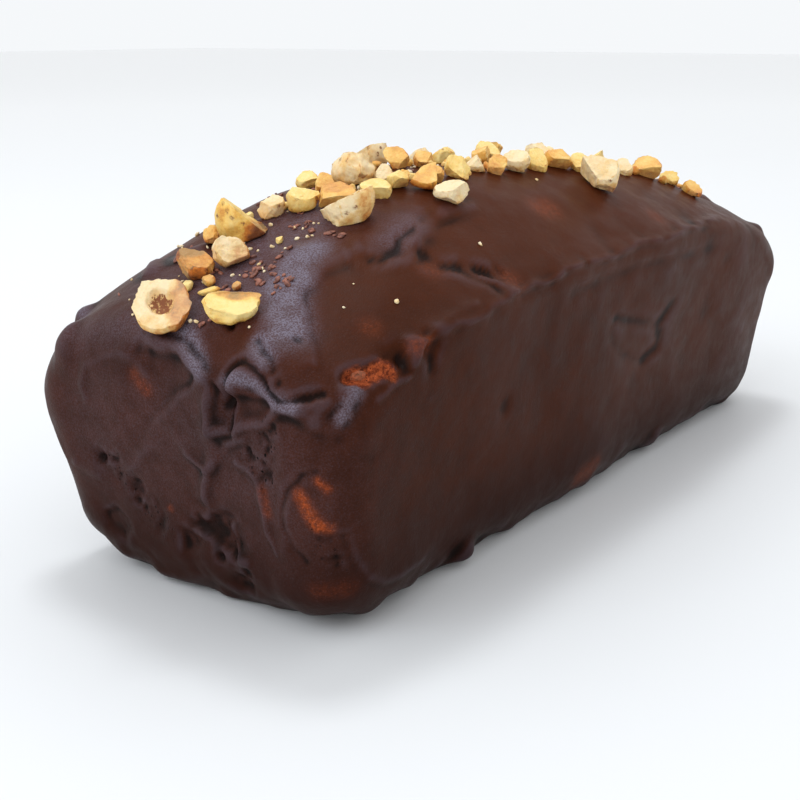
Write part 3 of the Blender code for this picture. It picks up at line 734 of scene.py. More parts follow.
@dataclass(frozen=True)
class LoafForm:
    """Smooth outer form of the coated loaf, the same as that of the solids.

    Sags and tucks name a corner by the signs of its x and y, then give an amount
    and the reach of its bell. Columns stand closer together round the near corners
    and beyond the start of the far zone.
    """

    length: float = 0.250
    width: float = 0.097
    corner_radius: float = 0.012
    rim_height: float = 0.0541
    rim_arch: float = 0.0157
    rim_power: float = 2.58
    crown_peak: float = 0.0208
    crown_peak_x: float = -0.060
    crown_near_end: float = 0.0096
    crown_far_end: float = 0.0118
    near_fall_power: float = 1.33
    far_fall_power: float = 1.80
    shown_side_roundness: float = 2.35
    other_side_roundness: float = 2.60
    ridge_half_length: float = 0.097
    wall_lean: float = 0.0070
    foot_height: float = 0.0143
    foot_tuck: float = 0.0099
    foot_curl: float = 0.94
    crease_at_sides: float = 0.0045
    crease_at_ends: float = 0.0100
    end_zone: float = 0.030
    corner_sags: tuple[tuple[float, float, float, float], ...] = (
        (-1, 1, 0.0085, 0.017),
        (-1, -1, 0.0030, 0.014),
        (1, -1, 0.0045, 0.016),
        (1, 1, 0.0060, 0.016),
    )
    corner_tucks: tuple[tuple[float, float, float, float], ...] = (
        (-1, -1, 0.0065, 0.020),
        (-1, 1, 0.0025, 0.016),
        (1, -1, -0.0030, 0.018),
    )
    near_corner: tuple[float, float] = (-0.122, 0.030)
    near_corner_reach: float = 0.018
    far_zone_start: float = 0.100
    far_zone_length: float = 0.018
    far_crowding: float = 0.9

    def outline(self, place: Array) -> Array:
        """Points of the outline seen from above.

        A rounded rectangle, walked anticlockwise from the middle of the far end.

        Args:
            place: Share 0 to 1 of the way round.

        Returns:
            x and y for each place.
        """
        radius = self.corner_radius
        long_half = self.length / 2 - radius
        short_half = self.width / 2 - radius
        quarter = math.pi / 2 * radius
        runs = [short_half, quarter, 2 * long_half, quarter, 2 * short_half,
                quarter, 2 * long_half, quarter, short_half]
        starts = np.concatenate([[0.0], np.cumsum(runs)])
        walked = np.asarray(place) % 1.0 * starts[-1]
        run = np.clip(np.searchsorted(starts, walked, side="right") - 1, 0, 8)
        along = walked - starts[run]
        centres = np.array([(1, 0), (1, 1), (1, 1), (-1, 1), (-1, 1),
                            (-1, -1), (-1, -1), (1, -1), (1, -1)]) * (long_half, short_half)
        facing = np.array([0, 0, 1, 1, 2, 2, 3, 3, 4]) * math.pi / 2
        turning = np.array([0, 1, 0, 1, 0, 1, 0, 1, 0])
        angle = facing[run] + turning[run] * along / radius
        out = np.stack([np.cos(angle), np.sin(angle)], axis=-1)
        sideways = np.stack([-np.sin(angle), np.cos(angle)], axis=-1)
        slide = (along * (1 - turning[run]))[..., None] * sideways
        return centres[run] + radius * out + slide

    def top_height(self, x: Array, y: Array) -> Array:
        """Height of the domed top above the floor.

        An arched rim plus a crown that falls away from its peak, less the sag of
        each corner.

        Args:
            x: Places along the loaf.
            y: Places across it.

        Returns:
            Height for each place.
        """
        along = np.clip(np.abs(x) / (self.length / 2), 0, 1)
        across = np.clip(np.abs(y) / (self.width / 2), 0, 1)
        rim = self.rim_height + self.rim_arch * (1 - along ** self.rim_power)
        near = x < self.crown_peak_x
        span = np.where(near, self.length / 2 + self.crown_peak_x,
                        self.length / 2 - self.crown_peak_x)
        from_peak = np.clip(np.abs(x - self.crown_peak_x) / span, 0, 1)
        fall = from_peak ** np.where(near, self.near_fall_power, self.far_fall_power)
        end = np.where(near, self.crown_near_end, self.crown_far_end)
        crown = self.crown_peak + (end - self.crown_peak) * fall
        roundness = np.where(y < 0, self.shown_side_roundness, self.other_side_roundness)
        height = rim + crown * (1 - across ** roundness)
        for end_sign, side, sag, reach in self.corner_sags:
            away = ((x - end_sign * self.length / 2) ** 2
                    + (y - side * self.width / 2) ** 2)
            height = height - sag * np.exp(-away / reach ** 2)
        return height

    def tuck(self, outline: Array) -> Array:
        """How far the foot curls in: one value, plus a bell round each corner.

        Args:
            outline: Points of the outline.

        Returns:
            Curl for each point.
        """
        tuck = np.full(outline.shape[:-1], self.foot_tuck)
        for end_sign, side, added, reach in self.corner_tucks:
            away = ((outline[..., 0] - end_sign * self.length / 2) ** 2
                    + (outline[..., 1] - side * self.width / 2) ** 2)
            tuck = tuck + added * np.exp(-away / reach ** 2)
        return tuck

    def wall_inset(self, height: Array, rim: Array, tuck: Array) -> Array:
        """How far the wall stands in from the crease.

        Its lean grows evenly down the wall, and the curl of the foot follows a
        quarter of a circle.

        Args:
            height: Heights on the wall.
            rim: Height of the rim over each.
            tuck: Curl of the foot under each.

        Returns:
            Inset for each height.
        """
        up = np.clip(height / rim, 0, 1)
        under = self.foot_curl * np.clip(1 - height / self.foot_height, 0, 1)
        return self.wall_lean * (1 - up) + tuck * (1 - np.sqrt(1 - under * under))

    def surface(self, place: Array, rise: Array, depth: float = 0.0) -> Array:
        """Point of the form, sunk by a depth under the outside.

        Rise runs 0 to 1 up the wall, 1 to 2 round the crease, which is a Bezier
        arc of three points, and 2 to 3 over the top to the ridge line.

        Args:
            place: Share 0 to 1 of the way round.
            rise: Share 0 to 3 of the way from the foot to the ridge.
            depth: Distance under the outside.

        Returns:
            x, y and z for each pair of place and rise.
        """
        outline = self.outline(place)
        half = np.array([self.length / 2, self.width / 2])
        core = np.clip(outline / (half - self.corner_radius), -1, 1)
        shrink = half / (half - depth)
        tuck = self.tuck(outline)

        def top_point(flat: Array) -> Array:
            """Point of the sunk top over a place."""
            height = self.top_height(flat[..., 0] * shrink[0], flat[..., 1] * shrink[1]) - depth
            return np.concatenate([flat, height[..., None]], axis=-1)

        def wall_point(height: Array, rim: Array) -> Array:
            """Point of the sunk wall at a height."""
            flat = outline - core * (self.wall_inset(height, rim, tuck) + depth)[..., None]
            return np.concatenate([flat, height[..., None]], axis=-1)

        edge = outline - core * depth
        rim = top_point(edge)[..., 2]
        end_share = smooth((np.abs(outline[..., 0]) - half[0] + self.end_zone) / self.end_zone)
        radius = self.crease_at_sides + (self.crease_at_ends - self.crease_at_sides) * end_share
        fold = np.where(place % 1.0 <= 0.5, 1 - 4 * (place % 1.0), 4 * (place % 1.0) - 3)
        ridge = np.stack([self.ridge_half_length * fold, np.zeros_like(fold)], axis=-1)
        inward = ridge - edge
        start = radius / np.linalg.norm(inward, axis=-1)

        wall = wall_point((rim - radius) * np.clip(rise, 0, 1), rim)
        reach = start + (1 - start) * np.clip(rise - 2, 0, 1)
        top = top_point(edge + inward * reach[..., None])
        turn = np.clip(rise - 1, 0, 1)[..., None]
        below = wall_point(rim - radius, rim)
        corner = np.concatenate([edge, rim[..., None]], axis=-1)
        beyond = top_point(edge + inward * start[..., None])
        crease = (1 - turn) ** 2 * below + 2 * turn * (1 - turn) * corner + turn ** 2 * beyond
        level = rise[..., None]
        return np.where(level <= 1, wall, np.where(level < 2, crease, top))

    def normal(self, place: Array, rise: Array) -> Array:
        """Direction out of the form.

        On the wall and the crease it is the cross of small differences along both
        parameters, and on the top it follows the slope of the dome.

        Args:
            place: Share 0 to 1 of the way round.
            rise: Share 0 to 3 of the way from the foot to the ridge.

        Returns:
            Unit direction for each pair of place and rise.
        """
        step = 1e-4
        ahead = self.surface(place + step, rise) - self.surface(place - step, rise)
        low = np.maximum(rise - step, 0)
        above = self.surface(place, np.minimum(rise + step, 1.9999)) - self.surface(place, low)
        side = unit(np.cross(ahead, above))
        point = self.surface(place, rise)
        x, y = point[..., 0], point[..., 1]
        slope_x = (self.top_height(x + step, y) - self.top_height(x - step, y)) / (2 * step)
        slope_y = (self.top_height(x, y + step) - self.top_height(x, y - step)) / (2 * step)
        top = unit(np.stack([-slope_x, -slope_y, np.ones_like(x)], axis=-1))
        return np.where((rise >= 1.999)[..., None], top, side)

    def columns(self, count: int, crowding: float) -> Array:
        """Places round the loaf, the same on both long sides.

        They stand closer together toward the near end and closest at its corners,
        and somewhat closer round the far end than along the sides.

        Args:
            count: Number of places.
            crowding: How much closer they stand at the near end.

        Returns:
            Share 0 to 1 of the way round for each place.
        """
        fine = np.linspace(0, 0.5, 2001)
        outline = self.outline(fine)
        along, across = outline[:, 0], np.abs(outline[:, 1])
        corner_x, corner_y = self.near_corner
        away = (along - corner_x) ** 2 + (across - corner_y) ** 2
        corner = away / self.near_corner_reach ** 2
        near = smooth(0.5 - along / self.length) ** 2
        far = smooth((along - self.far_zone_start) / self.far_zone_length)
        weight = 1 + crowding * (near + np.exp(-corner)) + self.far_crowding * far
        reached = np.concatenate([[0], np.cumsum((weight[1:] + weight[:-1]) / 2)])
        half = np.interp(np.linspace(0, reached[-1], count // 2 + 1), reached, fine)
        return np.concatenate([half, 1 - half[-2:0:-1]])


@dataclass(frozen=True)
class SheetEdge:
    """The edge of a poured sheet, steep on one side and fading toward the other, in mm."""

    path: Path
    toward: Point
    height: float
    edge: float
    fade: float

    def rise(self, points: Array) -> Array:
        """Height: a bell ahead of the path, and a slow exponential fall behind it.

        How far a point counts as behind follows the cosine of its bearing, so the
        sheet fans out to nothing past both ends of the path.

        Args:
            points: Places on the coat, in metres.

        Returns:
            Height in metres for each place.
        """
        offset = nearest_on_path(points, np.array(self.path) * MM)
        distance = np.linalg.norm(offset, axis=-1)
        bearing = offset @ unit(np.array(self.toward, float)) / np.maximum(distance, 1e-9)
        behind = smooth(bearing * 1.3)
        ahead = np.exp(-(distance / (self.edge * MM)) ** 2)
        fall = np.exp(-distance / (self.fade * MM))
        return self.height * MM * (behind * fall + (1 - behind) * ahead)


@dataclass(frozen=True)
class Bead:
    """A rounded ridge along a path, or a groove where the height is negative, in mm."""

    path: Path
    width: float
    height: float

    def rise(self, points: Array) -> Array:
        """Height: a bell of the distance from the path."""
        offset = nearest_on_path(points, np.array(self.path) * MM)
        return self.height * MM * np.exp(-(offset ** 2).sum(-1) / (self.width * MM) ** 2)


@dataclass(frozen=True)
class Knob:
    """A rounded lump, or a pit where the height is negative, in mm."""

    centre: Point
    radius: float
    height: float

    def rise(self, points: Array) -> Array:
        """Height: a flat-topped bell of the distance from the centre."""
        away = ((points - np.array(self.centre) * MM) ** 2).sum(-1)
        return self.height * MM * np.exp(-(away / (self.radius * MM) ** 2) ** 1.5)


Mark = Union[SheetEdge, Bead, Knob]

# Marks that the solid coat carries too

CAST_MARKS: tuple[Mark, ...] = (
    SheetEdge(((-124, -19, 55), (-123, -26, 60), (-123, -35, 56), (-122, -40, 52)),
              (0, 0.2, 1), 2.6, 1.8, 8),
    SheetEdge(((-122, 5, 62), (-123, -6, 61), (-124, -12, 58), (-123.5, -14, 52),
               (-123, -14, 46)), (0, 1, 0.3), 1.5, 1.7, 11),
    SheetEdge(((-47, -22, 85), (-58, -24, 83), (-67, -27, 80), (-73, -29, 78)),
              (-1, 0.3, 0), 2.1, 1.8, 9),
    SheetEdge(((-121, 8, 36), (-119, 25, 24), (-119, 36, 26), (-121, 42, 38)),
              (0, -0.2, 1), 0.9, 1.6, 14),
    Bead(((-94, -13, 77), (-104, -19, 73), (-116, -25, 66), (-122, -27, 61)), 5.0, 1.4),
    Bead(((-123, -14, 46), (-123, -20, 47), (-124, -28, 50), (-123, -34, 54)), 1.6, 0.9),
    Bead(((-123, -14, 46), (-122, -10, 36), (-121, -7, 27)), 1.6, 0.9),
    Bead(((-124, -33, 47), (-122, -33, 34), (-121, -30, 22)), 2.4, 0.6),
    Bead(((-37, -48, 69), (0, -48, 70), (40, -48, 69), (82, -46, 67)), 3.4, 0.9),
    Bead(((-104, -47, 61), (-80, -48, 65), (-60, -48, 67)), 2.6, 0.7),
    Bead(((-124, -19, 54), (-123, -18, 46)), 1.5, -1.4),
    Bead(((-74, -31, 77), (-68, -40, 73), (-65, -46, 69)), 1.6, -1.0),
    Bead(((-64, -40, 73), (-60, -45, 70)), 1.5, -0.8),
    Bead(((34, -46, 49), (26, -46, 44), (30, -45, 37), (21, -45, 34)), 1.9, -1.0),
    Bead(((-93, -48, 59), (-93, -47, 52)), 1.3, -0.9),
    Bead(((-30, -48, 63), (10, -48, 64), (60, -47, 62)), 2.2, -0.5),
    Knob((-116.5, -44, 55.5), 2.6, 1.2),
    Knob((-120, -43, 52), 2.8, 1.1),
    Knob((-97, -46, 63), 2.4, 0.9),
    Knob((-65, -38, 3), 4.2, 4.0),
    Knob((42, -40, 5), 3.0, 1.6),
    Knob((-120, 33, 56), 4.6, 1.8),
    Knob((-96, 18, 76), 4.0, 1.8),
    Knob((-122, 8, 40), 17.0, 0.9),
    Knob((-124, -26, 53), 5.0, -1.3),
    Knob((-78, -28, 77), 5.0, -1.2),
    Knob((-103, -46, 61), 3.0, -1.7),
    Knob((-93, -47.5, 62), 3.0, -1.5),
    Knob((-119.5, 24, 13), 3.6, -1.7),
    Knob((-120, -13, 18), 3.2, -1.7),
    Knob((-120, -11, 23), 2.4, -1.4),
    Knob((-119.6, 0.5, 15), 2.8, -1.4),
    Knob((-118, -14, 7), 3.4, -1.6),
    Knob((-120.5, 15, 25), 2.4, -1.2),
    Knob((-121.5, 25, 31), 2.2, -1.1),
    Knob((-57, -45.6, 40), 2.8, -0.7),
)

# Paths that several of the finer marks share, in mm

TONGUE: Path = (
    (-122.6, 2.1, 61.8), (-122.7, -2.9, 61.5), (-123.0, -7.3, 60.9), (-123.5, -11.8, 59.1),
    (-123.9, -14.3, 57.0), (-124.0, -14.8, 54.3), (-123.6, -13.3, 50.3), (-123.3, -13.4, 47.8),
    (-123.1, -14.6, 45.8), (-123.2, -19.3, 46.2),
)
FOLD: Path = (
    (-123.7, -18.3, 51.2), (-124.0, -19.5, 53.6), (-123.9, -19.9, 56.6), (-123.4, -21.2, 58.7),
    (-122.8, -22.6, 60.0), (-122.5, -24.6, 60.3), (-122.6, -27.1, 59.4), (-122.9, -29.2, 58.2),
    (-123.3, -31.0, 56.5), (-123.3, -33.2, 55.4), (-123.0, -36.0, 55.0), (-121.5, -38.9, 55.3),
    (-120.3, -40.2, 55.7),
)
LIP: Path = (
    (-123.8, -20.4, 57.1), (-123.4, -23.4, 58.2), (-123.3, -27.1, 57.5), (-123.5, -30.2, 56.0),
    (-123.5, -33.3, 54.7), (-123.1, -36.9, 53.9),
)
LIP_EDGE: Path = (
    (-123.9, -20.2, 55.7), (-123.8, -23.7, 56.2), (-123.8, -27.4, 55.6), (-123.7, -31.1, 54.7),
    (-123.6, -34.7, 53.7),
)
SHEEN_EDGE: Path = (
    (-84.7, -23.5, 78.5), (-89.4, -22.5, 77.3), (-97.0, -21.6, 74.8), (-103.4, -22.0, 72.2),
    (-106.5, -24.0, 70.4), (-111.5, -29.2, 66.7), (-117.5, -36.0, 61.0),
)
WEB: Path = (
    (-122.2, -3.9, 37.8), (-122.0, -6.7, 36.0), (-121.8, -9.2, 34.9), (-122.3, -12.8, 38.5),
    (-122.7, -16.0, 42.4), (-123.0, -19.5, 44.3), (-123.1, -22.5, 45.3),
)
FOOT_SHEET: Path = (
    (-116.9, -42.3, 26.9), (-115.6, -42.5, 23.4), (-113.6, -42.7, 18.9), (-110.9, -42.9, 14.7),
    (-105.5, -42.5, 11.0), (-97.9, -42.1, 9.7), (-89.1, -42.1, 9.8),
)
CREASE_RIDGE: Path = (
    (-95.7, -46.6, 62.8), (-89.9, -46.9, 63.7), (-82.8, -47.3, 64.6), (-73.8, -47.4, 65.3),
    (-64.5, -47.4, 66.9), (-53.8, -47.3, 67.8), (-41.5, -47.3, 68.5), (-29.1, -47.4, 69.3),
    (-15.6, -47.3, 69.2), (1.8, -47.3, 69.7), (20.8, -47.3, 69.3), (46.6, -46.6, 69.5),
    (86.7, -41.5, 68.2),
)

# Marks too fine for the solid coat

FINE_MARKS: tuple[Mark, ...] = (
    Bead(CREASE_RIDGE, 1.0, 0.75),
    SheetEdge(CREASE_RIDGE, (0, 0.6, 0.8), 0.5, 0.7, 6),
    Bead(((-64.0, -41.0, 73.7), (-61.9, -42.1, 73.0), (-61.4, -44.0, 71.5)), 1.0, -1.1),
    Bead(((-58.4, -42.6, 73.0), (-57.8, -44.2, 71.7)), 1.0, -0.9),
    Bead(((-2.6, -46.6, 51.6), (3.5, -46.4, 49.6), (10.1, -46.3, 48.4), (17.1, -46.1, 46.4),
          (23.2, -45.9, 44.1)), 1.3, -0.7),
    Bead(((-3.8, -46.6, 51.6), (-5.4, -46.4, 49.1), (-3.0, -46.0, 45.2), (2.4, -45.6, 41.2),
          (9.9, -45.2, 37.3), (17.1, -45.0, 34.9)), 1.4, -0.45),
    Knob((-109.5, 41.5, 60.9), 2.8, 1.9),
    Bead(((-104.0, 23.5, 72.0), (-98.5, 28.0, 72.4)), 2.0, 2.0),
    Bead(FOLD, 0.75, -2.1),
    Bead(LIP, 1.5, 1.3),
    Bead(LIP_EDGE, 0.45, 0.55),
    Bead(((-124.0, -19.6, 53.8), (-123.7, -19.7, 51.0), (-123.4, -19.5, 47.9),
          (-123.2, -19.0, 46.4)), 0.75, -2.4),
    SheetEdge(((-123.2, -19.3, 46.2), (-123.5, -23.0, 48.3), (-123.7, -27.1, 49.4),
               (-123.9, -29.4, 50.3), (-123.8, -32.7, 53.2)), (0, -0.2, 1), 0.8, 0.5, 5),
    Bead(((-123.2, -19.3, 46.2), (-123.5, -23.0, 48.3), (-123.7, -27.1, 49.4),
          (-123.9, -29.4, 50.3), (-123.8, -32.7, 53.2)), 0.45, 0.5),
    SheetEdge(TONGUE, (0, 1, 0.1), 0.9, 1.0, 8),
    Bead(TONGUE[:4], 1.1, 0.4),
    Bead(TONGUE[4:], 0.6, 0.7),
    Bead(WEB, 0.5, 0.75),
    SheetEdge(WEB, (0, -0.4, 1), 0.5, 0.6, 7),
    Bead(((-121.8, -9.2, 34.9), (-121.3, -8.1, 30.4), (-120.9, -6.7, 25.9), (-120.5, -7.0, 22.3)),
         0.6, 0.6),
    Bead(((-122.4, -18.7, 38.8), (-122.3, -22.0, 38.0), (-122.1, -23.6, 35.6),
          (-121.7, -24.5, 32.1), (-121.2, -25.9, 28.0), (-120.8, -26.4, 23.6),
          (-120.4, -27.9, 20.2)), 0.9, 0.8),
    Bead(((-121.8, -40.6, 41.5), (-122.7, -37.1, 40.2), (-122.4, -34.1, 36.4),
          (-121.8, -31.8, 31.6), (-121.2, -31.1, 26.5), (-120.7, -32.2, 22.6),
          (-119.8, -35.1, 18.7)), 0.8, -0.7),
    Knob((-121.0, -37.0, 31.0), 7.5, 0.6),
    Bead(FOOT_SHEET, 0.6, -0.9),
    SheetEdge(FOOT_SHEET, (0, -0.3, 1), 0.8, 0.8, 7),
    Bead(((-123.4, 26.2, 46.1), (-123.8, 26.4, 49.7), (-124.0, 23.8, 53.4), (-123.8, 17.9, 56.8),
          (-123.7, 12.4, 58.3), (-123.9, 6.9, 57.4), (-124.0, 4.2, 55.2)), 1.0, 0.45),
    SheetEdge(SHEEN_EDGE, (-0.5, 0.8, 0.3), 0.7, 0.9, 9),
    Bead(((-86, -27.2, 76.8), (-83.6, -29.1, 76.7), (-79, -28.5, 78.2), (-74.6, -26.7, 80.2),
          (-69.8, -26.6, 81.3)), 1.0, -0.9),
    Bead(((-81.8, -30.5, 76.6), (-78.9, -32.5, 76.4), (-73.9, -31.2, 78.2), (-71, -28.3, 80.3),
          (-64.7, -26.7, 82.3), (-54.7, -25.5, 84.1), (-44.3, -26, 84.7)), 1.2, 0.8),
    Bead(((-76.8, -33.8, 76.2), (-73.8, -37.2, 74.7), (-66, -38.7, 75.1), (-61.1, -42.4, 72.9)),
         1.0, -0.9),
    Bead(((-119.8, -24.8, 63.5), (-121.1, -28.5, 61.2), (-122.0, -30.5, 59.0)), 1.0, -1.1),
    Bead(((-88, -21.4, 78.1), (-89.3, -23.7, 77), (-88.1, -25, 76.9)), 0.8, 0.5),
    Bead(((-101.1, -47.9, 57.5), (-104.9, -47.6, 56.9), (-108.1, -47.4, 55.7),
          (-111.4, -47.1, 54.7)), 0.8, 0.7),
    Bead(((-74.9, -46.0, 67.6), (-86.9, -46.1, 65.4), (-95.2, -46.7, 62.8), (-99.4, -47.5, 60.1)),
         1.0, 0.5),
    Bead(((-118.8, -45.2, 47.9), (-116.0, -46.3, 44.2), (-111.9, -46.7, 42.1)), 1.6, -0.3),
    Bead(((-93, -47.5, 55.5), (-93, -47, 51.5)), 1.3, 0.75),
    Knob((-118.2, -15.4, 66.3), 1.3, -0.9),
    Knob((-122.6, -32.8, 57.5), 1.0, -0.9),
    Knob((-103.2, -31.1, 69.4), 1.0, 0.5),
    Knob((-101.9, -31.7, 69.7), 0.8, 0.4),
    Knob((-115.1, -31, 64.5), 1.2, -0.5),
    Knob((-101.5, -46.4, 61.2), 1.5, -1.2),
    Knob((-114.6, -44.6, 56.5), 1.3, 1.0),
    Knob((-115.8, -44.8, 55.2), 0.9, 0.8),
    Knob((-117.3, -44.4, 54.1), 0.9, 0.9),
    Knob((-118.8, -44.2, 52.3), 1.1, 1.1),
    Knob((-117.4, -45.2, 52.4), 0.8, 0.7),
    Knob((-113.9, -45.8, 55.2), 0.9, 0.7),
    Knob((-123.5, -30.6, 47.0), 0.50, -1.2),
    Knob((-122.6, -26.8, 39.9), 0.60, -1.4),
    Knob((-122.8, -22.7, 42.4), 0.65, -1.4),
    Knob((-116.7, -41.2, 21.4), 0.6, -1.0),
    Knob((-116.8, -40.7, 19.7), 0.7, -1.2),
    Knob((-120.3, -11.6, 20.5), 1.5, -1.7),
    Knob((-119.9, -12.3, 17.5), 1.3, -1.5),
    Knob((-119.7, -13.7, 14.9), 1.2, -1.2),
    Knob((-119.6, -9.0, 13.5), 1.4, -0.9),
    Knob((-120.4, -3.8, 21.5), 1.1, -1.0),
    Knob((-120.0, -5.0, 17.9), 1.2, 0.9),
    Knob((-119.6, -16.5, 14.5), 1.8, 0.9),
    Knob((-120.4, 16.1, 21.8), 1.0, -1.1),
    Knob((-120.2, 14.4, 20.1), 0.9, -0.9),
    Knob((-119.7, 26.6, 13.8), 1.8, -1.3),
    Knob((-119.5, 23.5, 12.5), 1.3, -0.9),
    Knob((-119.5, 1.7, 13.9), 1.2, -1.1),
    Knob((-121.6, 25.1, 30.8), 0.9, -0.8),
    Knob((-121.7, 18.6, 33.1), 0.8, -0.7),
    Knob((-1.9, -46.6, 51.2), 0.9, -0.5),
)


@dataclass(frozen=True)
class Stain:
    """A soft-edged area of the coat with its own look: path, half width in mm, strength."""

    path: Path
    width: float
    strength: float

    def share(self, points: Array) -> Array:
        """Strength times a bell of the distance from the path.

        Args:
            points: Places on the coat, in metres.

        Returns:
            Share for each place.
        """
        if len(self.path) == 1:
            offset = points - np.array(self.path[0]) * MM
        else:
            offset = nearest_on_path(points, np.array(self.path) * MM)
        return self.strength * np.exp(-((offset ** 2).sum(-1) / (self.width * MM) ** 2) ** 1.3)


@dataclass(frozen=True)
class Relief:
    """Heights of the relief over a grid, with marks for where a highlight is painted on crests
    and where shade is painted in hollows.
    """

    height: Array
    # Where a highlight is painted on crests and where shade is painted in hollows, 0 to 1.
    crest_highlight: Array
    hollow: Array
    # Heights at which the painted highlight and the painted shade are full.
    full_crest_highlight: ClassVar[float] = 0.22 * MM
    full_hollow_shade: ClassVar[float] = 0.30 * MM

    @classmethod
    def of(cls, height: Array, reach: int = 2) -> "Relief":
        """Settle a height grid and work out where it stands out or sinks.

        First each height becomes the mean of itself, twice, and its two neighbours,
        along both ways of the grid, as if the chocolate had run a little. Then each
        height less the mean of the square window round it is taken: above is crest, where a
        highlight is painted, and below is hollow, where shade is painted, both scaled to 0 to 1.

        Args:
            height: Rows from foot to ridge, columns round the loaf.
            reach: Half width of the window in cells.

        Returns:
            The settled heights with both marks.
        """
        height = (np.roll(height, 1, axis=1) + 2 * height + np.roll(height, -1, axis=1)) / 4
        height[1:-1] = (height[:-2] + 2 * height[1:-1] + height[2:]) / 4
        padded = np.pad(height, ((reach, reach), (0, 0)), mode="edge")
        rows = sum(padded[i:i + len(height)] for i in range(2 * reach + 1))
        mean = sum(np.roll(rows, i, axis=1) for i in range(-reach, reach + 1))
        stands = height - mean / (2 * reach + 1) ** 2
        return cls(height, smooth(stands / cls.full_crest_highlight), smooth(-stands / cls.full_hollow_shade))


# Where the cake glows through, where set fat dulls the chocolate and a reflection is
# painted as sheen, where fine pores stand open and where larger pits do, in mm

GLOWS = (
    Stain(((-122.1, -36.4, 35.6), (-121.2, -37.8, 32.1), (-120.2, -39.0, 29.2)), 1.5, 1.0),
    Stain(((-120.2, -39.0, 29.2), (-118.8, -40.6, 28.6)), 1.4, 0.75),
    Stain(((-121.5, -40.3, 39.2), (-120.2, -41.6, 37.4)), 0.9, 0.80),
    Stain(((-121.9, -25.6, 34.0), (-121.4, -26.6, 29.1)), 1.4, 0.32),
    Stain(((-123.9, 7.8, 53.9), (-123.6, 5.5, 51.3)), 1.9, 0.38),
    Stain(((-21.5, -32.6, 82), (-17.0, -33.0, 82)), 4.0, 0.42),
    Stain(((27, -42.5, 74.4),), 3.6, 0.28),
    Stain(((-57, -45.6, 70.3),), 3.6, 0.30),
    Stain(((-76.6, -36.4, 74.6),), 3.4, 0.25),
    Stain(((-5, -41.8, 9), (-12, -41.5, 8)), 3.6, 0.35),
    Stain(((-118.1, -36.8, 12.8), (-114.4, -41.1, 13.7)), 2.2, 0.16),
    Stain(((-120.4, 5, 22),), 0.9, 0.50),
    Stain(((-98.0, -46.3, 62.0), (-94, -46.6, 62.5)), 1.8, 0.40),
    Stain(((-101.5, -38.0, 65.4),), 2.8, 0.30),
)
BLOOM_AND_SHEEN_STAINS = (
    Stain(((-91, -15, 78.5), (-97, -16, 76.5), (-104, -18.6, 73)), 4.2, 0.80),
    Stain(((-104, -18.6, 73), (-110.5, -23.5, 69), (-115, -28.0, 65.5)), 4.8, 0.95),
    Stain(((-119.8, -24.8, 63.5), (-121.1, -28.5, 61.2)), 2.0, 0.70),
    Stain(LIP, 1.3, 0.75),
    Stain(((-120.6, -3.6, 64.4), (-122.6, -9.0, 62.2), (-123.6, -12.8, 58.6)), 2.2, 0.75),
    Stain(((-119.5, -3, 65), (-120, 12, 63), (-119, 30, 58)), 4.5, 0.22),
    Stain(((-74, -4, 86), (-95, -2, 79), (-108, -4, 72.5)), 12.0, 0.45),
    Stain(((-109, 41, 61), (-116, 34, 60.5)), 2.4, 0.60),
    Stain(((-114.6, -44.6, 56.5), (-117.3, -44.4, 54.1), (-118.8, -44.2, 52.3)), 1.7, 0.55),
    Stain(((-78, -26, 79), (-66, -24, 83)), 4.5, 0.30),
    Stain(((-106, 20, 71), (-98, 24, 73)), 9.0, 0.20),
    Stain(((-124, 20, 40), (-124, -5, 42), (-123, -25, 38)), 22.0, 0.13),
)
PORES = (
    Stain(((-123.9, -32, 50.5), (-123.1, -28.5, 44), (-122.5, -27, 39), (-122.2, -27.6, 36)),
          2.6, 1.0),
    Stain(((-122.8, -23, 42.2), (-122.5, -25.2, 39.4)), 2.2, 1.0),
    Stain(((-121, -38, 28), (-117, -40.6, 20)), 2.6, 0.55),
    Stain(((-121.5, 22, 31), (-120.5, 13, 22), (-120, 8, 17)), 3.4, 0.6),
    Stain(((-120.2, -12, 20),), 4.0, 0.6),
)
PITTED = (
    Stain(((-120.3, -11.5, 21), (-119.8, -12.8, 15), (-118.4, -13.0, 9)), 4.6, 1.0),
    Stain(((-120.2, -4.5, 19),), 3.2, 0.8),
    Stain(((-120.2, 15.5, 21), (-119.6, 24, 13)), 3.2, 0.7),
    Stain(((-121.6, 25, 31), (-121.7, 18.6, 33)), 2.2, 0.6),
)

# The chipped place: path and half width in mm

BARE_PLACE = (((-114.0, -43.0, 59.2), (-110.0, -44.4, 59.8), (-105.4, -46.0, 59.6)), 2.7)


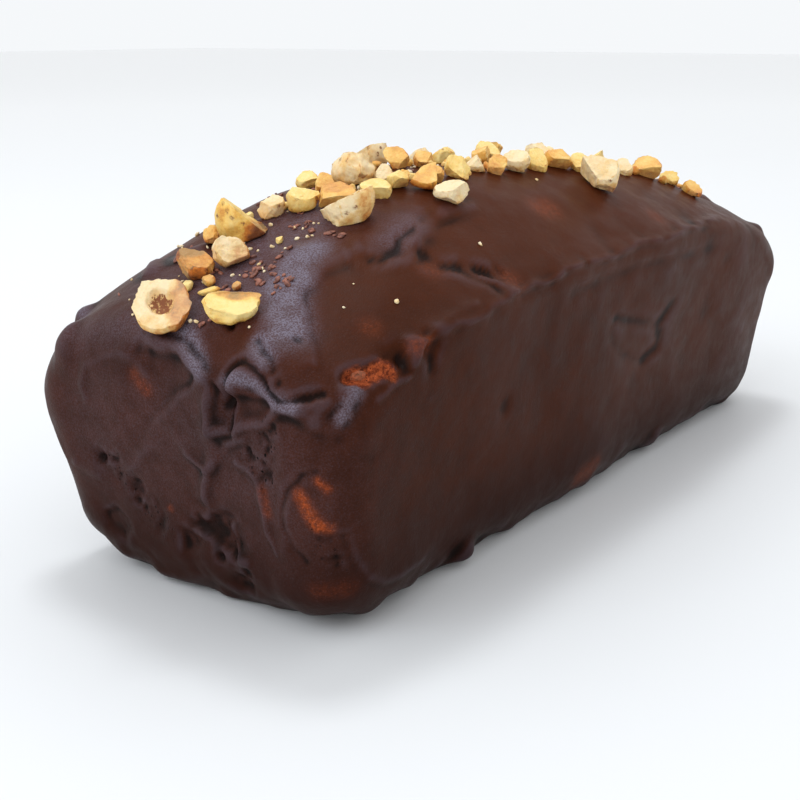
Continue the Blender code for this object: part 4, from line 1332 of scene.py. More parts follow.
@dataclass
class PouredRelief:
    """Height of the poured chocolate over the smooth form, and the marks its finish reads.

    Dimples, foot rags, end lumps and bare grain are layers of lattice noise, each
    given as a depth, the size of its cells, both in mm, and a seed.
    """

    swell: float = 0.9 * MM
    ripple: float = 0.13 * MM
    ragged: float = 1.3 * MM
    ragged_height: float = 0.007
    lowest: float = -1.8 * MM
    highest: float = 4.5 * MM
    finer_below: float = 0.3 * MM
    bare_depth: float = 0.45 * MM
    bare_lowest: float = -2.3 * MM
    turned_share: float = 0.8
    turned_stain_share: float = 0.5
    warp: float = 0.9 * MM
    warp_cell: float = 5.0 * MM
    warp_seeds: tuple[int, int, int] = (31, 32, 33)
    pit_depth: float = 1.7 * MM
    rough_end_height: float = 0.028
    rough_end_start: float = 0.112
    rough_end_fade: float = 0.008
    dimples: tuple[tuple[float, float, int], ...] = ((0.16, 7.0, 21), (0.07, 2.6, 22))
    foot_rags: tuple[float, float, int] = (0.55, 4.0, 23)
    end_lumps: tuple[tuple[float, float, int], ...] = ((0.45, 5.5, 24), (0.25, 2.4, 25))
    bare_grain: tuple[tuple[float, float, int], ...] = ((0.55, 1.7, 26), (0.30, 0.8, 27))

    def marks(self, points: Array, marks: Sequence[Mark]) -> Array:
        """Sum of a row of marks, and of the same ones half a turn round, weaker.

        The sides turned away were poured in the same way as those that show.

        Args:
            points: Places on the smooth form.
            marks: The row of marks.

        Returns:
            Height in metres for each place.
        """
        turned = points * (-1, -1, 1)
        total = np.zeros(points.shape[:-1])
        for mark in marks:
            total += mark.rise(points) + self.turned_share * mark.rise(turned)
        return total

    def stains(self, points: Array, stains: Sequence[Stain]) -> Array:
        """Sum of a row of stains and their turned twins, clipped to one.

        Args:
            points: Places on the smooth form.
            stains: The row of stains.

        Returns:
            Share 0 to 1 for each place.
        """
        turned = points * (-1, -1, 1)
        total = np.zeros(points.shape[:-1])
        for stain in stains:
            total += stain.share(points) + self.turned_stain_share * stain.share(turned)
        return np.clip(total, 0, 1)

    def bare(self, points: Array) -> Array:
        """How far each place lies in the chipped place, whose edge is torn by noise.

        Args:
            points: Places on the smooth form.

        Returns:
            1 within it and 0 outside.
        """
        path, width = BARE_PLACE
        offset = np.linalg.norm(nearest_on_path(points, np.array(path) * MM), axis=-1)
        torn = 0.40 * lattice_noise(points, 2.4 * MM, 5)
        return smooth((1 - offset / (width * MM) + torn) * 2.0)

    def pits(self, points: Array) -> Array:
        """Pits of two sizes: high noise within the pitted and the porous areas.

        Args:
            points: Places on the smooth form.

        Returns:
            1 in the middle of a pit and 0 between them.
        """
        coarse = smooth((lattice_noise(points, 2.8 * MM, 28) - 0.02) * 2.2)
        small = smooth((lattice_noise(points, 1.5 * MM, 29) - 0.10) * 2.2)
        return np.clip(coarse * self.stains(points, PITTED)
                       + 0.5 * small * self.stains(points, PORES), 0, 1)

    def layers(self, points: Array, layers: Sequence[tuple[float, float, int]]) -> Array:
        """Sum of layers of lattice noise.

        Args:
            points: Places on the smooth form.
            layers: Depth and cell in mm and seed of each layer.

        Returns:
            Height in metres for each place.
        """
        return sum(depth * MM * lattice_noise(points, cell * MM, seed)
                   for depth, cell, seed in layers)

    def height(self, points: Array) -> Array:
        """Height of the relief along the way out.

        Cast marks, long swells, ripples and a ragged foot, as in the solid, and
        over them the fine marks, pits, dimples, the lumps low on both ends and the
        broken floor of the bare place. Places are first shifted by noise, so that
        no mark keeps a ruled outline.

        Args:
            points: Places on the smooth form.

        Returns:
            Height in metres for each place.
        """
        points = points + self.warp * np.stack(
            [lattice_noise(points, self.warp_cell, seed) for seed in self.warp_seeds], axis=-1)
        cast = (self.marks(points, CAST_MARKS)
                + self.swell * waves(points, 0.045, 11)
                + self.ripple * waves(points, 0.014, 12))
        foot = np.clip(1 - points[..., 2] / self.ragged_height, 0, 1)
        cast += self.ragged * waves(points, 0.010, 13) * foot
        cast = np.clip(cast, self.lowest, self.highest)
        fine = self.marks(points, FINE_MARKS)
        fine -= self.pit_depth * self.pits(points)
        fine += self.layers(points, self.dimples)
        fine += self.layers(points, [self.foot_rags]) * foot
        past = (np.abs(points[..., 0]) - self.rough_end_start) / self.rough_end_fade
        low = smooth(1 - points[..., 2] / self.rough_end_height) * smooth(past)
        fine += self.layers(points, self.end_lumps) * low
        bare = self.bare(points)
        floor = self.layers(points, self.bare_grain) - self.bare_depth
        total = np.maximum(cast + fine, self.lowest - self.finer_below)
        return total * (1 - bare) + np.maximum(floor, self.bare_lowest) * bare


@dataclass
class ChocolateCoat:
    """The poured chocolate, a thin closed shell open under the loaf."""

    form: LoafForm
    relief: PouredRelief
    thickness: float = 0.0026
    column_count: int = 576
    crowding: float = 2.4
    wall_rows: int = 84
    crease_rows: int = 32
    top_rows: int = 45
    inner_rises: tuple[float, ...] = (0, 0.5, 1, 2, 3)
    collar_height: float = 0.60 * MM
    collar_reach: float = 0.95 * MM
    level_foot: float = 0.006
    wall_power: float = 1.12
    top_power: float = 1.25

    def rises(self) -> Array:
        """Rows of the outer skin, closer together at the foot and the crease.

        Returns:
            Share 0 to 3 of the way from the foot to the ridge for each row.
        """
        wall = np.linspace(0, 1, self.wall_rows, endpoint=False) ** self.wall_power
        crease = 1 + np.linspace(0, 1, self.crease_rows, endpoint=False)
        top = 2 + np.linspace(0, 1, self.top_rows + 1) ** self.top_power
        return np.concatenate([wall, crease, top])

    def skin(self, places: Array, rises: Array, first: int, points: Array,
             reverse: bool) -> tuple[Array, Array]:
        """Vertices and quads of a skin whose last row is folded along the ridge line.

        Args:
            places: Columns round the loaf.
            rises: Rows from foot to ridge.
            first: Number of the skin's first vertex.
            points: Grid of points, rows by columns.
            reverse: True for a skin that faces inwards.

        Returns:
            The vertices, each ridge vertex once, and the quads.
        """
        count, rows = len(places), len(rises)
        body = points[:-1].reshape(-1, *points.shape[2:])
        ridge = points[-1, :count // 2 + 1]
        column = np.arange(count)
        numbers = first + np.arange(rows - 1)[:, None] * count + column
        folded = first + len(body) + np.minimum(column, count - column)
        numbers = np.concatenate([numbers, folded[None]])
        after = np.roll(numbers, -1, axis=1)
        quads = np.stack([numbers[:-1], after[:-1], after[1:], numbers[1:]], axis=-1)
        quads = quads.reshape(-1, 4)
        return np.concatenate([body, ridge]), quads[:, ::-1] if reverse else quads

    def collars(self, points: Array, nuts: Sequence[Array]) -> Array:
        """Rise of the chocolate where it set against the nuts.

        A bell of the distance from the nearest point of each nut.

        Args:
            points: Vertices of the outer skin.
            nuts: Vertices of each nut.

        Returns:
            Rise along the way out for each vertex.
        """
        rise = np.zeros(len(points))
        reach = 3 * self.collar_reach
        for nut in nuts:
            low, high = nut.min(0) - reach, nut.max(0) + reach
            close = np.flatnonzero(((points > low) & (points < high)).all(-1))
            if not len(close):
                continue
            gaps = ((points[close, None] - nut[None]) ** 2).sum(-1).min(1)
            bell = self.collar_height * np.exp(-gaps / self.collar_reach ** 2)
            rise[close] = np.maximum(rise[close], bell)
        return rise

    def build(self, finish: bpy.types.Material, nuts: Sequence[Array]) -> bpy.types.Object:
        """Build the shell: outer skin with relief, smooth inner skin, and the foot ring.

        Args:
            finish: The chocolate.
            nuts: Vertices of each nut, which the chocolate rises to meet.

        Returns:
            The piece, which stands for the coat's solid.
        """
        places = self.form.columns(self.column_count, self.crowding)
        rises = self.rises()
        place, rise = np.meshgrid(places, rises)
        smooth_points = self.form.surface(place, rise)
        normals = self.form.normal(place, rise)
        relief = Relief.of(self.relief.height(smooth_points))
        shift = relief.height[..., None] * normals
        shift[..., 2] *= np.clip(smooth_points[..., 2] / self.level_foot, 0, 1)
        outer_grid = np.concatenate([smooth_points + shift, normals, smooth_points,
                                     relief.crest_highlight[..., None], relief.hollow[..., None]], axis=-1)
        outer, outer_quads = self.skin(places, rises, 0, outer_grid, False)
        points, ways, plain = outer[:, :3], outer[:, 3:6], outer[:, 6:9]
        points = points + self.collars(points, nuts)[:, None] * ways

        inner_rises = np.array(self.inner_rises, float)
        place, rise = np.meshgrid(places, inner_rises)
        inner_grid = self.form.surface(place, rise, self.thickness)
        inner, inner_quads = self.skin(places, inner_rises, len(points), inner_grid, True)
        ring = np.arange(len(places))
        after = (ring + 1) % len(places)
        foot = np.stack([after, ring, len(points) + ring, len(points) + after], axis=-1)

        hidden = np.zeros(len(inner))
        marks = {
            "glow": np.concatenate([self.relief.stains(plain, GLOWS), hidden]),
            # Set fat bloom, partly a painted reflection as sheen.
            "bloom_and_sheen": np.concatenate([self.relief.stains(plain, BLOOM_AND_SHEEN_STAINS), hidden]),
            "porous": np.concatenate([self.relief.stains(plain, PORES), hidden]),
            "bare": np.concatenate([self.relief.bare(plain), hidden]),
            # Where a highlight is painted on crests.
            "crest_highlight": np.concatenate([outer[:, 9], hidden]),
            # Where shade is painted: hollows of the relief and pits.
            "hollow": np.concatenate([np.maximum(outer[:, 10], self.relief.pits(plain)), hidden]),
        }
        coat = write_mesh("chocolate_coat_poured", np.concatenate([points, inner]),
                          [outer_quads, inner_quads, foot], marks, finish)
        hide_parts("chocolate_coat")
        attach(coat, "root")
        return coat


# The nuts


class NutKind(Enum):
    """How a hazelnut was broken."""

    HALF = "half"
    SLICE = "slice"
    CHUNK = "chunk"


@dataclass(frozen=True)
class Hazelnut:
    """One piece of chopped hazelnut that has a solid of its own, sizes in mm."""

    number: int
    kind: NutKind
    length: float
    width: float
    thick: float
    azimuth: float
    elevation: float
    spin: float

    @property
    def cells(self) -> tuple[int, int]:
        """Columns and rows of the piece's grid: more on a piece past 9 mm."""
        return (104, 60) if self.length > 9.0 else (72, 42)

    @property
    def node(self) -> str:
        """Name of the solid that this piece stands for."""
        return f"hazelnut_{self.number:02d}"

    @property
    def tone(self) -> Tone:
        """Roast of this piece: the three take turns."""
        return list(Tone)[(self.number - 1) % 3]

    @property
    def seed(self) -> int:
        """Seed of the piece's own unevenness."""
        return 99 + self.number


# Planes that split each kind, as a direction and a distance from the middle, then
# how many more planes trim it and the least distance of those, in half lengths

SPLITS = {NutKind.HALF: (((0, 0, 1), 0.12),),
          NutKind.SLICE: (((0, 0, 1), 0.25), ((0, 1, -0.15), 0.30)),
          NutKind.CHUNK: (((0, 0, 1), 0.50),)}
TRIMS = {NutKind.HALF: (2, 0.80), NutKind.SLICE: (2, 0.62), NutKind.CHUNK: (4, 0.55)}
FACETS = 5


def broken_nut(kind: NutKind, size: Array, seed: int, around: int, up: int) -> tuple[Array, dict]:
    """A broken hazelnut about its own middle, its cut face looking along +Z.

    Every kind starts as a round nut with gentle swells. Planes then cut it: what
    stands past a plane is moved back onto it. A half keeps the hollow of its
    middle, a bowl that deepens with the square of the distance from its rim.
    Rough grain goes on the cut faces and faint dimples on the rest.

    Args:
        kind: How the nut was broken.
        size: Length, width and thickness in metres.
        seed: Seed of the swells and of the planes.
        around: Columns of the grid.
        up: Rows of the grid.

    Returns:
        The grid of points, and a grid of marks for the finish by name.
    """
    draw = np.random.default_rng(seed)
    ball = ball_grid(around, up)
    points = ball * (1 + 0.07 * waves(ball, 1.6, seed)[..., None])
    lobes = 0.055 * lattice_noise(ball * (1, 1, 0.3) + seed, 0.42, seed)
    lobes += 0.035 * lattice_noise(ball * (1, 1, 0.3) + seed, 0.20, seed + 9)
    points = points * (1 + lobes)[..., None]
    planes = [(unit(np.array(way, float)), limit) for way, limit in SPLITS[kind]]
    trims, nearest = TRIMS[kind]
    for _ in range(trims):
        way = draw.normal(size=3) * (1, 1, 0.6)
        planes.append((unit(way), nearest + draw.uniform(0.0, 0.25)))
    for _ in range(FACETS):
        planes.append((unit(draw.normal(size=3)), draw.uniform(0.82, 0.96)))
    cut = np.zeros(ball.shape[:2])
    for way, limit in planes:
        torn = limit + 0.030 * lattice_noise(points + seed, 0.34, seed + 5)
        over = np.maximum(points @ way - torn, 0)
        points = points - over[..., None] * way
        cut = np.maximum(cut, smooth(over / 0.07))
    hollow = np.zeros(ball.shape[:2])
    if kind is NutKind.HALF:
        radius = np.hypot(points[..., 0], points[..., 1]) / 0.55
        upper = ball[..., 2] > 0
        ragged = radius * (1 + 0.25 * lattice_noise(ball + seed, 0.30, seed + 1))
        points[..., 2] -= 0.42 * np.clip(1 - ragged ** 2, 0, 1) ** 1.2 * upper
        hollow = smooth((0.98 - ragged) / 0.55) * upper
    grain = 0.045 * lattice_noise(points + seed, 0.10, seed + 2)
    grain += 0.060 * lattice_noise(points + seed, 0.24, seed + 3)
    rim = 4 * cut * (1 - cut)
    points = points * (1 + grain * (0.22 + 0.78 * cut + 0.5 * rim))[..., None]
    middle = (points.max((0, 1)) + points.min((0, 1))) / 2
    span = points.max((0, 1)) - points.min((0, 1))
    return (points - middle) / span * size, {"cut": cut, "hollow": hollow, "rim": rim}


@dataclass
class NutScatter:
    """The chopped nuts along the crown, and how far each was toasted.

    Toast is a share from pale flesh at 0 to dark brown at 1; the underside is darkened
    through it as painted shade. Toasted ways name, by the nut's number, a side that
    browned more and by how much.
    """

    form: LoafForm
    sunk_share: float = 0.24
    base_toast: dict[Tone, float] = field(default_factory=lambda: {
        Tone.CREAM: 0.08, Tone.GOLD: 0.20, Tone.TOASTED: 0.38})
    # Painted shade: how much the underside darkens, through the toast.
    underside_shade: float = 0.32
    own_toast: dict[int, float] = field(default_factory=lambda: {
        2: 0.06, 3: 0.66, 4: 0.10, 5: 0.28, 9: 0.34, 10: 0.08, 13: 0.20, 28: 0.15})
    toasted_ways: dict[int, tuple[Point, float]] = field(default_factory=lambda: {
        1: ((0.6, -0.8, 0.1), 0.65), 2: ((0.7, 0.2, 0.9), 0.75), 3: ((0.1, 0.5, 1.0), 0.35),
        4: ((0.3, -0.8, -0.4), 0.40), 5: ((0.5, -0.8, -0.5), 0.55), 9: ((0.3, 0.3, 0.8), 0.40),
        10: ((0.7, -0.9, 0.3), 0.30), 28: ((0.8, 0.0, -0.6), 0.50)})
    dome_step: float = MM
    coat_step: float = 3 * MM

    def way_out(self, tree: BVHTree, x: float, y: float) -> Array:
        """The way out of the coat at a place: halfway between the dome's and the coat's.

        Args:
            tree: Search tree of the coat's solid.
            x: Place along the loaf.
            y: Place across it.

        Returns:
            Unit direction.
        """
        def dome_height(at_x: float, at_y: float) -> float:
            """Height of the smooth dome."""
            return float(self.form.top_height(at_x, at_y))

        def coat_height(at_x: float, at_y: float) -> float:
            """Height of the solid coat, or 0 beside it."""
            found = below(tree, at_x, at_y)
            return found[0].z if found[0] is not None else 0.0

        def level_out(height: Callable[[float, float], float], step: float) -> Array:
            """Way out of a surface, from its heights a step to each side.

            Args:
                height: Height at a place.
                step: Distance to each side.

            Returns:
                Unit direction.
            """
            return unit(np.array([
                -(height(x + step, y) - height(x - step, y)) / (2 * step),
                -(height(x, y + step) - height(x, y - step)) / (2 * step), 1.0]))

        return unit(level_out(dome_height, self.dome_step)
                    + level_out(coat_height, self.coat_step))

    def bedded(self, vertices: Array, out: Array) -> Array:
        """Flatten the side of a nut that sank into the soft chocolate.

        Args:
            vertices: Vertices of the nut.
            out: Way out of the coat.

        Returns:
            The vertices, none deeper than the sunk share of the nut's height.
        """
        along = vertices @ out
        limit = along.min() + self.sunk_share * (along.max() - along.min())
        return vertices + np.maximum(limit - along, 0)[:, None] * out

    def toast(self, nut: Hazelnut, vertices: Array) -> Array:
        """How toasted each place is: the nut's roast, patches, an underside darkened as painted
        shade, and browned side.

        Args:
            nut: The piece.
            vertices: Its vertices.

        Returns:
            Toast 0 to 1 for each vertex.
        """
        level = self.own_toast.get(nut.number, self.base_toast[nut.tone])
        level = level + 0.14 * lattice_noise(vertices / MM + nut.seed, 2.6, nut.seed)
        spread = unit(vertices - (vertices.max(0) + vertices.min(0)) / 2)
        # Painted shade: undersides darker.
        level = level + self.underside_shade * smooth((-spread[:, 2] - 0.05) / 0.7)
        if nut.number in self.toasted_ways:
            way, strength = self.toasted_ways[nut.number]
            facing = spread @ unit(np.array(way, float))
            level = level + strength * smooth((facing - 0.15) / 0.6)
        return np.clip(level, 0, 1)

    def build_nut(self, nut: Hazelnut, tree: BVHTree,
                  finish: bpy.types.Material) -> tuple[bpy.types.Object, Array]:
        """One nut, turned and bedded as its solid is, its box centred on the solid's.

        Args:
            nut: The piece to build.
            tree: Search tree of the coat's solid.
            finish: Material for its roast.

        Returns:
            The piece, and its vertices.
        """
        low, high = (np.array(corner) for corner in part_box(nut.node))
        middle = (low + high) / 2
        size = np.array([nut.length, nut.width, nut.thick]) * MM
        grid, marks = broken_nut(nut.kind, size, nut.seed, *nut.cells)
        turned = ball_vertices(grid) @ facing_matrix(nut.azimuth, nut.elevation, nut.spin).T
        vertices = self.bedded(turned, self.way_out(tree, middle[0], middle[1]))
        vertices = vertices + middle - (vertices.max(0) + vertices.min(0)) / 2
        flat = {name: ball_vertices(values[..., None])[:, 0] for name, values in marks.items()}
        torn = lattice_noise(vertices / MM + nut.seed, 1.5, nut.seed + 7)
        marks = {
            "cut": flat["cut"],
            "hollow": flat["hollow"],
            "rim": flat["rim"],
            "skin": smooth((torn - 0.52) / 0.2) * (1 - flat["cut"]),
            "toast": self.toast(nut, vertices),
        }
        piece = write_mesh(f"{nut.node}_chopped", vertices, ball_faces(*nut.cells),
                           marks, finish)
        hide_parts(nut.node)
        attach(piece, "root")
        return piece, vertices


NUTS = tuple(
    Hazelnut(number, NutKind(kind), *sizes)
    for number, (kind, *sizes) in enumerate((
        ("half", 14.0, 12.5, 6.0, 214, 46, 20),
        ("slice", 12.5, 7.2, 5.9, 214, 60, 90),
        ("chunk", 9.7, 8.0, 5.7, 250, 60, 30),
        ("chunk", 8.7, 7.2, 6.7, 230, 30, 75),
        ("half", 14.3, 11.7, 8.0, 316, 50, 25),
        ("chunk", 5.0, 3.9, 4.5, 200, 40, 10),
        ("chunk", 6.8, 6.3, 5.1, 210, 70, -60),
        ("chunk", 8.4, 7.2, 6.0, 240, 60, -80),
        ("slice", 9.5, 6.7, 5.2, 200, 62, -74),
        ("half", 13.6, 9.0, 7.2, 104, 63, 22),
        ("chunk", 6.4, 5.8, 4.5, 190, 60, 80),
        ("chunk", 6.2, 5.6, 5.0, 220, 50, 20),
        ("half", 11.7, 10.6, 6.9, 30, 35, 90),
        ("slice", 7.8, 6.3, 4.6, 210, 72, -84),
        ("chunk", 8.0, 6.1, 5.5, 200, 50, 50),
        ("chunk", 5.2, 4.6, 5.2, 220, 40, 0),
        ("chunk", 5.5, 4.6, 5.2, 260, 55, 35),
        ("slice", 8.6, 6.9, 5.7, 200, 60, 15),
        ("chunk", 9.0, 7.3, 5.4, 190, 70, -60),
        ("chunk", 8.1, 6.3, 5.8, 230, 35, 20),
        ("chunk", 5.2, 4.7, 4.7, 210, 60, 45),
        ("slice", 6.0, 5.0, 5.0, 140, 50, 75),
        ("chunk", 8.5, 6.4, 5.3, 250, 60, 10),
        ("chunk", 6.8, 6.2, 5.6, 215, 45, 30),
        ("chunk", 8.8, 7.3, 6.2, 200, 65, 65),
        ("chunk", 7.9, 6.2, 6.2, 225, 40, 25),
        ("chunk", 8.5, 6.8, 5.7, 235, 60, 40),
        ("chunk", 12.8, 10.5, 8.8, 205, 45, 50),
        ("chunk", 7.7, 6.6, 6.0, 215, 50, 15),
        ("slice", 9.8, 7.4, 6.2, 200, 62, -74),
        ("chunk", 6.2, 5.2, 4.7, 220, 50, 20),
        ("chunk", 6.4, 5.1, 4.5, 225, 50, 55),
        ("chunk", 6.9, 5.3, 4.5, 240, 50, 15),
        ("half", 11.0, 10.0, 6.5, 80, 60, 10),
        ("chunk", 7.0, 6.0, 5.0, 30, 60, 50),
        ("chunk", 6.5, 5.5, 4.5, 210, 60, 20),
        ("chunk", 7.5, 6.0, 5.5, 70, 60, 35),
        ("chunk", 8.0, 6.5, 5.5, 100, 55, 60),
        ("slice", 9.5, 7.0, 5.5, 60, 60, 20),
        ("chunk", 8.0, 6.5, 6.0, 40, 55, 75),
        ("chunk", 7.5, 6.0, 5.5, 120, 60, 30),
        ("chunk", 7.0, 6.0, 5.0, 150, 65, 20),
        ("chunk", 7.5, 6.0, 5.0, 190, 60, 80),
    ), start=1)
)

# Chips too small for a solid of their own: place along and across, then length,
# width and thickness in mm, spin in degrees, and how toasted
CHIPS = (
    (-110.0, 5.5, 3.8, 2.6, 1.8, 30, 0.10),
    (-108.0, 0.5, 4.0, 2.6, 2.2, 75, 0.62),
    (-111.5, -2.5, 5.0, 2.4, 1.4, 140, 0.40),
    (-108.5, -8.0, 2.8, 2.2, 1.4, 20, 0.68),
    (-75.4, 8.1, 5.2, 3.0, 1.8, 165, 0.30),
    (-80.5, 13.5, 3.0, 2.2, 1.8, 60, 0.20),
    (-90.0, -4.0, 2.6, 1.8, 1.2, 15, 0.15),
    (47.5, -16.0, 5.0, 2.0, 2.2, 40, 0.60),
    (-24.5, -8.0, 3.0, 2.2, 1.8, 100, 0.70),
    (91.0, -22.0, 3.6, 2.6, 1.8, 130, 0.65),
    (60.0, 12.0, 3.6, 2.6, 1.8, 10, 0.30),
    (-3.0, 22.0, 3.4, 2.4, 1.8, 50, 0.40),
)


@dataclass
class Sprinkling:
    """Small things strewn on the coat, all pieces of one kind in one mesh, sizes in mm.

    Around and up count the cells of each, and per spot is how many lie near each
    given spot, spread about it by a bell.
    """

    name: str
    slot: str
    spots: tuple[tuple[float, float], ...]
    smallest: float
    largest: float
    flatness: float
    curl: float
    around: int
    up: int
    seed: int
    strewn: int = 0
    per_spot: int = 1
    spot_spread: float = 0.0

    def places(self) -> Array:
        """The given spots, and more strewn along the crown.

        The strewn ones follow a line down the middle of the crown, spread to both
        sides by a bell.

        Returns:
            Places along and across, in metres.
        """
        draw = np.random.default_rng(self.seed)
        near = np.repeat(np.array(self.spots, float).reshape(-1, 2), self.per_spot, axis=0)
        near = near + draw.normal(size=near.shape) * self.spot_spread
        along = draw.uniform(-112, 92, self.strewn)
        across = 5 - 0.16 * (along + 40) + draw.normal(size=self.strewn) * 8.5
        return np.concatenate([near, np.stack([along, across], axis=-1)]) * MM

    def build(self, finish: bpy.types.Material, tree: BVHTree) -> bpy.types.Object:
        """Every piece a flattened, curled and dented ball, laid on the coat.

        Args:
            finish: Material of the kind.
            tree: Search tree of the dressed coat.

        Returns:
            The piece that holds them all.
        """
        draw = np.random.default_rng(self.seed + 1)
        template = ball_vertices(ball_grid(self.around, self.up))
        spots, ways = [], []
        for x, y in self.places():
            found = below(tree, x, y)
            if found[0] is not None:
                spots.append(tuple(found[0]))
                ways.append(tuple(found[1]))
        spots, ways = np.array(spots), np.array(ways)
        count = len(spots)
        size = draw.uniform(self.smallest, self.largest, (count, 1, 1)) * MM / 2
        stretch = np.stack([draw.uniform(0.8, 1.3, count), draw.uniform(0.5, 0.9, count),
                            np.full(count, self.flatness)], axis=-1)[:, None]
        dents = lattice_noise(template[None] * 0.9 + draw.uniform(0, 90, (count, 1, 3)), 0.55, 3)
        forms = template[None] * (1 + 0.38 * dents[..., None]) * stretch
        forms[..., 2] += self.curl * (forms[..., 0] ** 2) * draw.uniform(-1, 1, (count, 1))
        turns = np.stack([facing_matrix(*way_of(way), spin)
                          for way, spin in zip(ways, draw.uniform(0, 360, count))])
        leans = zip(draw.uniform(0, 360, count), 90 - np.abs(draw.normal(size=count)) * 14)
        tilt = np.stack([facing_matrix(azimuth, elevation, 0) for azimuth, elevation in leans])
        forms = np.einsum("nij,nvj->nvi", turns @ tilt, forms * size)
        lift = -0.55 * np.einsum("nvi,ni->nv", forms, ways).min(1)
        forms = forms + (spots + ways * lift[:, None])[:, None]
        step = len(template) * np.arange(count)[:, None, None]
        faces = [(part[None] + step).reshape(-1, part.shape[1])
                 for part in ball_faces(self.around, self.up)]
        tone = np.repeat(draw.uniform(0, 1, count), len(template))
        plain = 0 * tone
        marks = {"toast": 0.05 + 0.50 * tone, "cut": plain, "hollow": plain, "skin": plain,
                 "rim": plain}
        piece = write_mesh(self.name, forms.reshape(-1, 3), faces, marks, finish)
        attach(piece, "root")
        return piece


@dataclass
class ChipRow:
    """The chips that the solid coat carries fused, as one mesh."""

    around: int = 22
    up: int = 14
    sink: float = 0.12

    def build(self, finish: bpy.types.Material, tree: BVHTree) -> bpy.types.Object:
        """Every chip a small broken nut, sunk a little into the coat.

        Args:
            finish: Material of the chips.
            tree: Search tree of the dressed coat.

        Returns:
            The piece that holds them all.
        """
        vertices, faces, toast, cut, first = [], [[], []], [], [], 0
        for index, (x, y, length, width, thick, spin, roast) in enumerate(CHIPS):
            found = below(tree, x * MM, y * MM)
            spot, out = np.array(found[0]), np.array(found[1])
            size = np.array([length, width, thick]) * MM
            grid, marks = broken_nut(NutKind.CHUNK, size, 300 + index, self.around, self.up)
            turned = ball_vertices(grid) @ facing_matrix(*way_of(out), spin).T
            placed = turned + spot + out * (0.5 - self.sink) * thick * MM
            vertices.append(placed)
            for kept, part in zip(faces, ball_faces(self.around, self.up)):
                kept.append(part + first)
            first += len(placed)
            cut.append(ball_vertices(marks["cut"][..., None])[:, 0])
            toast.append(np.full(len(placed), roast))
        none = np.zeros(first)
        marks = {"toast": np.concatenate(toast), "cut": np.concatenate(cut),
                 "hollow": none, "skin": none, "rim": none}
        piece = write_mesh("hazelnut_chips", np.concatenate(vertices),
                           [np.concatenate(part) for part in faces], marks, finish)
        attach(piece, "root")
        return piece


# Where flakes, crumbs and small bits lie in the clear, along and across in mm

RED_SPOTS = (
    (-100.1, -8.4), (-98.7, -5.1), (-97.8, -1.9), (-102.8, -13.7), (-104.9, -16.6),
    (-103.8, -6.1), (-105.0, -11.8), (-102.8, -8.2), (-76.9, 0.9), (-80.7, -4.1),
    (-84.3, -8.8), (-82.5, -5.3), (-83.9, -3.7), (-83.6, -13.6), (-84.6, -16.1),
    (-74.3, -10.6), (-76.3, -14.2), (-94.1, -10.6), (-96.9, -10.9), (-109.8, -3.3),
    (-109.2, -4.8), (-103.6, 4.1), (-83.4, -1.5), (-107.1, -18.5), (-105.9, -18.9),
    (-104.5, -18.8), (-119.7, -9.3), (-101.5, -6.8), (-99.6, -9.8), (-101.2, -10.4),
)
CREAM_SPOTS = (
    (-104.3, -2.4), (-109.2, -7.5), (-103.5, -4.1), (-99.6, -6.2), (-100.9, -8.3),
    (-94.5, -1.4), (-92.6, -4.3), (-86.5, -10.6), (-93.9, -8.9), (-102.0, -9.8),
    (-119.8, -6.4), (-120.3, -4.9), (-118.8, -20.6), (-116.2, 18.0), (-121.1, 11.6),
    (-95.2, -28.9), (-101.9, -31.7), (-87.5, -10.3), (-88.4, -7.9), (-97.7, 20.4),
    (-108.0, 9.5), (-91.9, -38.4), (-55.2, -35.9),
)
BIT_SPOTS = (
    (-68, 0), (-62, -3), (-56, 9), (-46, 2), (-42, -7), (-36, -3), (-34, 12), (-28, -9),
    (-22, -4), (-15, -6), (-12, 5), (-8, -9), (0, -9), (3, 4), (8, -10), (12, -4),
    (19, -11), (24, -14), (30, -12), (36, -15), (41, -18), (44, -6), (55, -19), (58, -12),
    (69, -20), (-17, 14), (18, 8), (35, 5),
)


# The studio


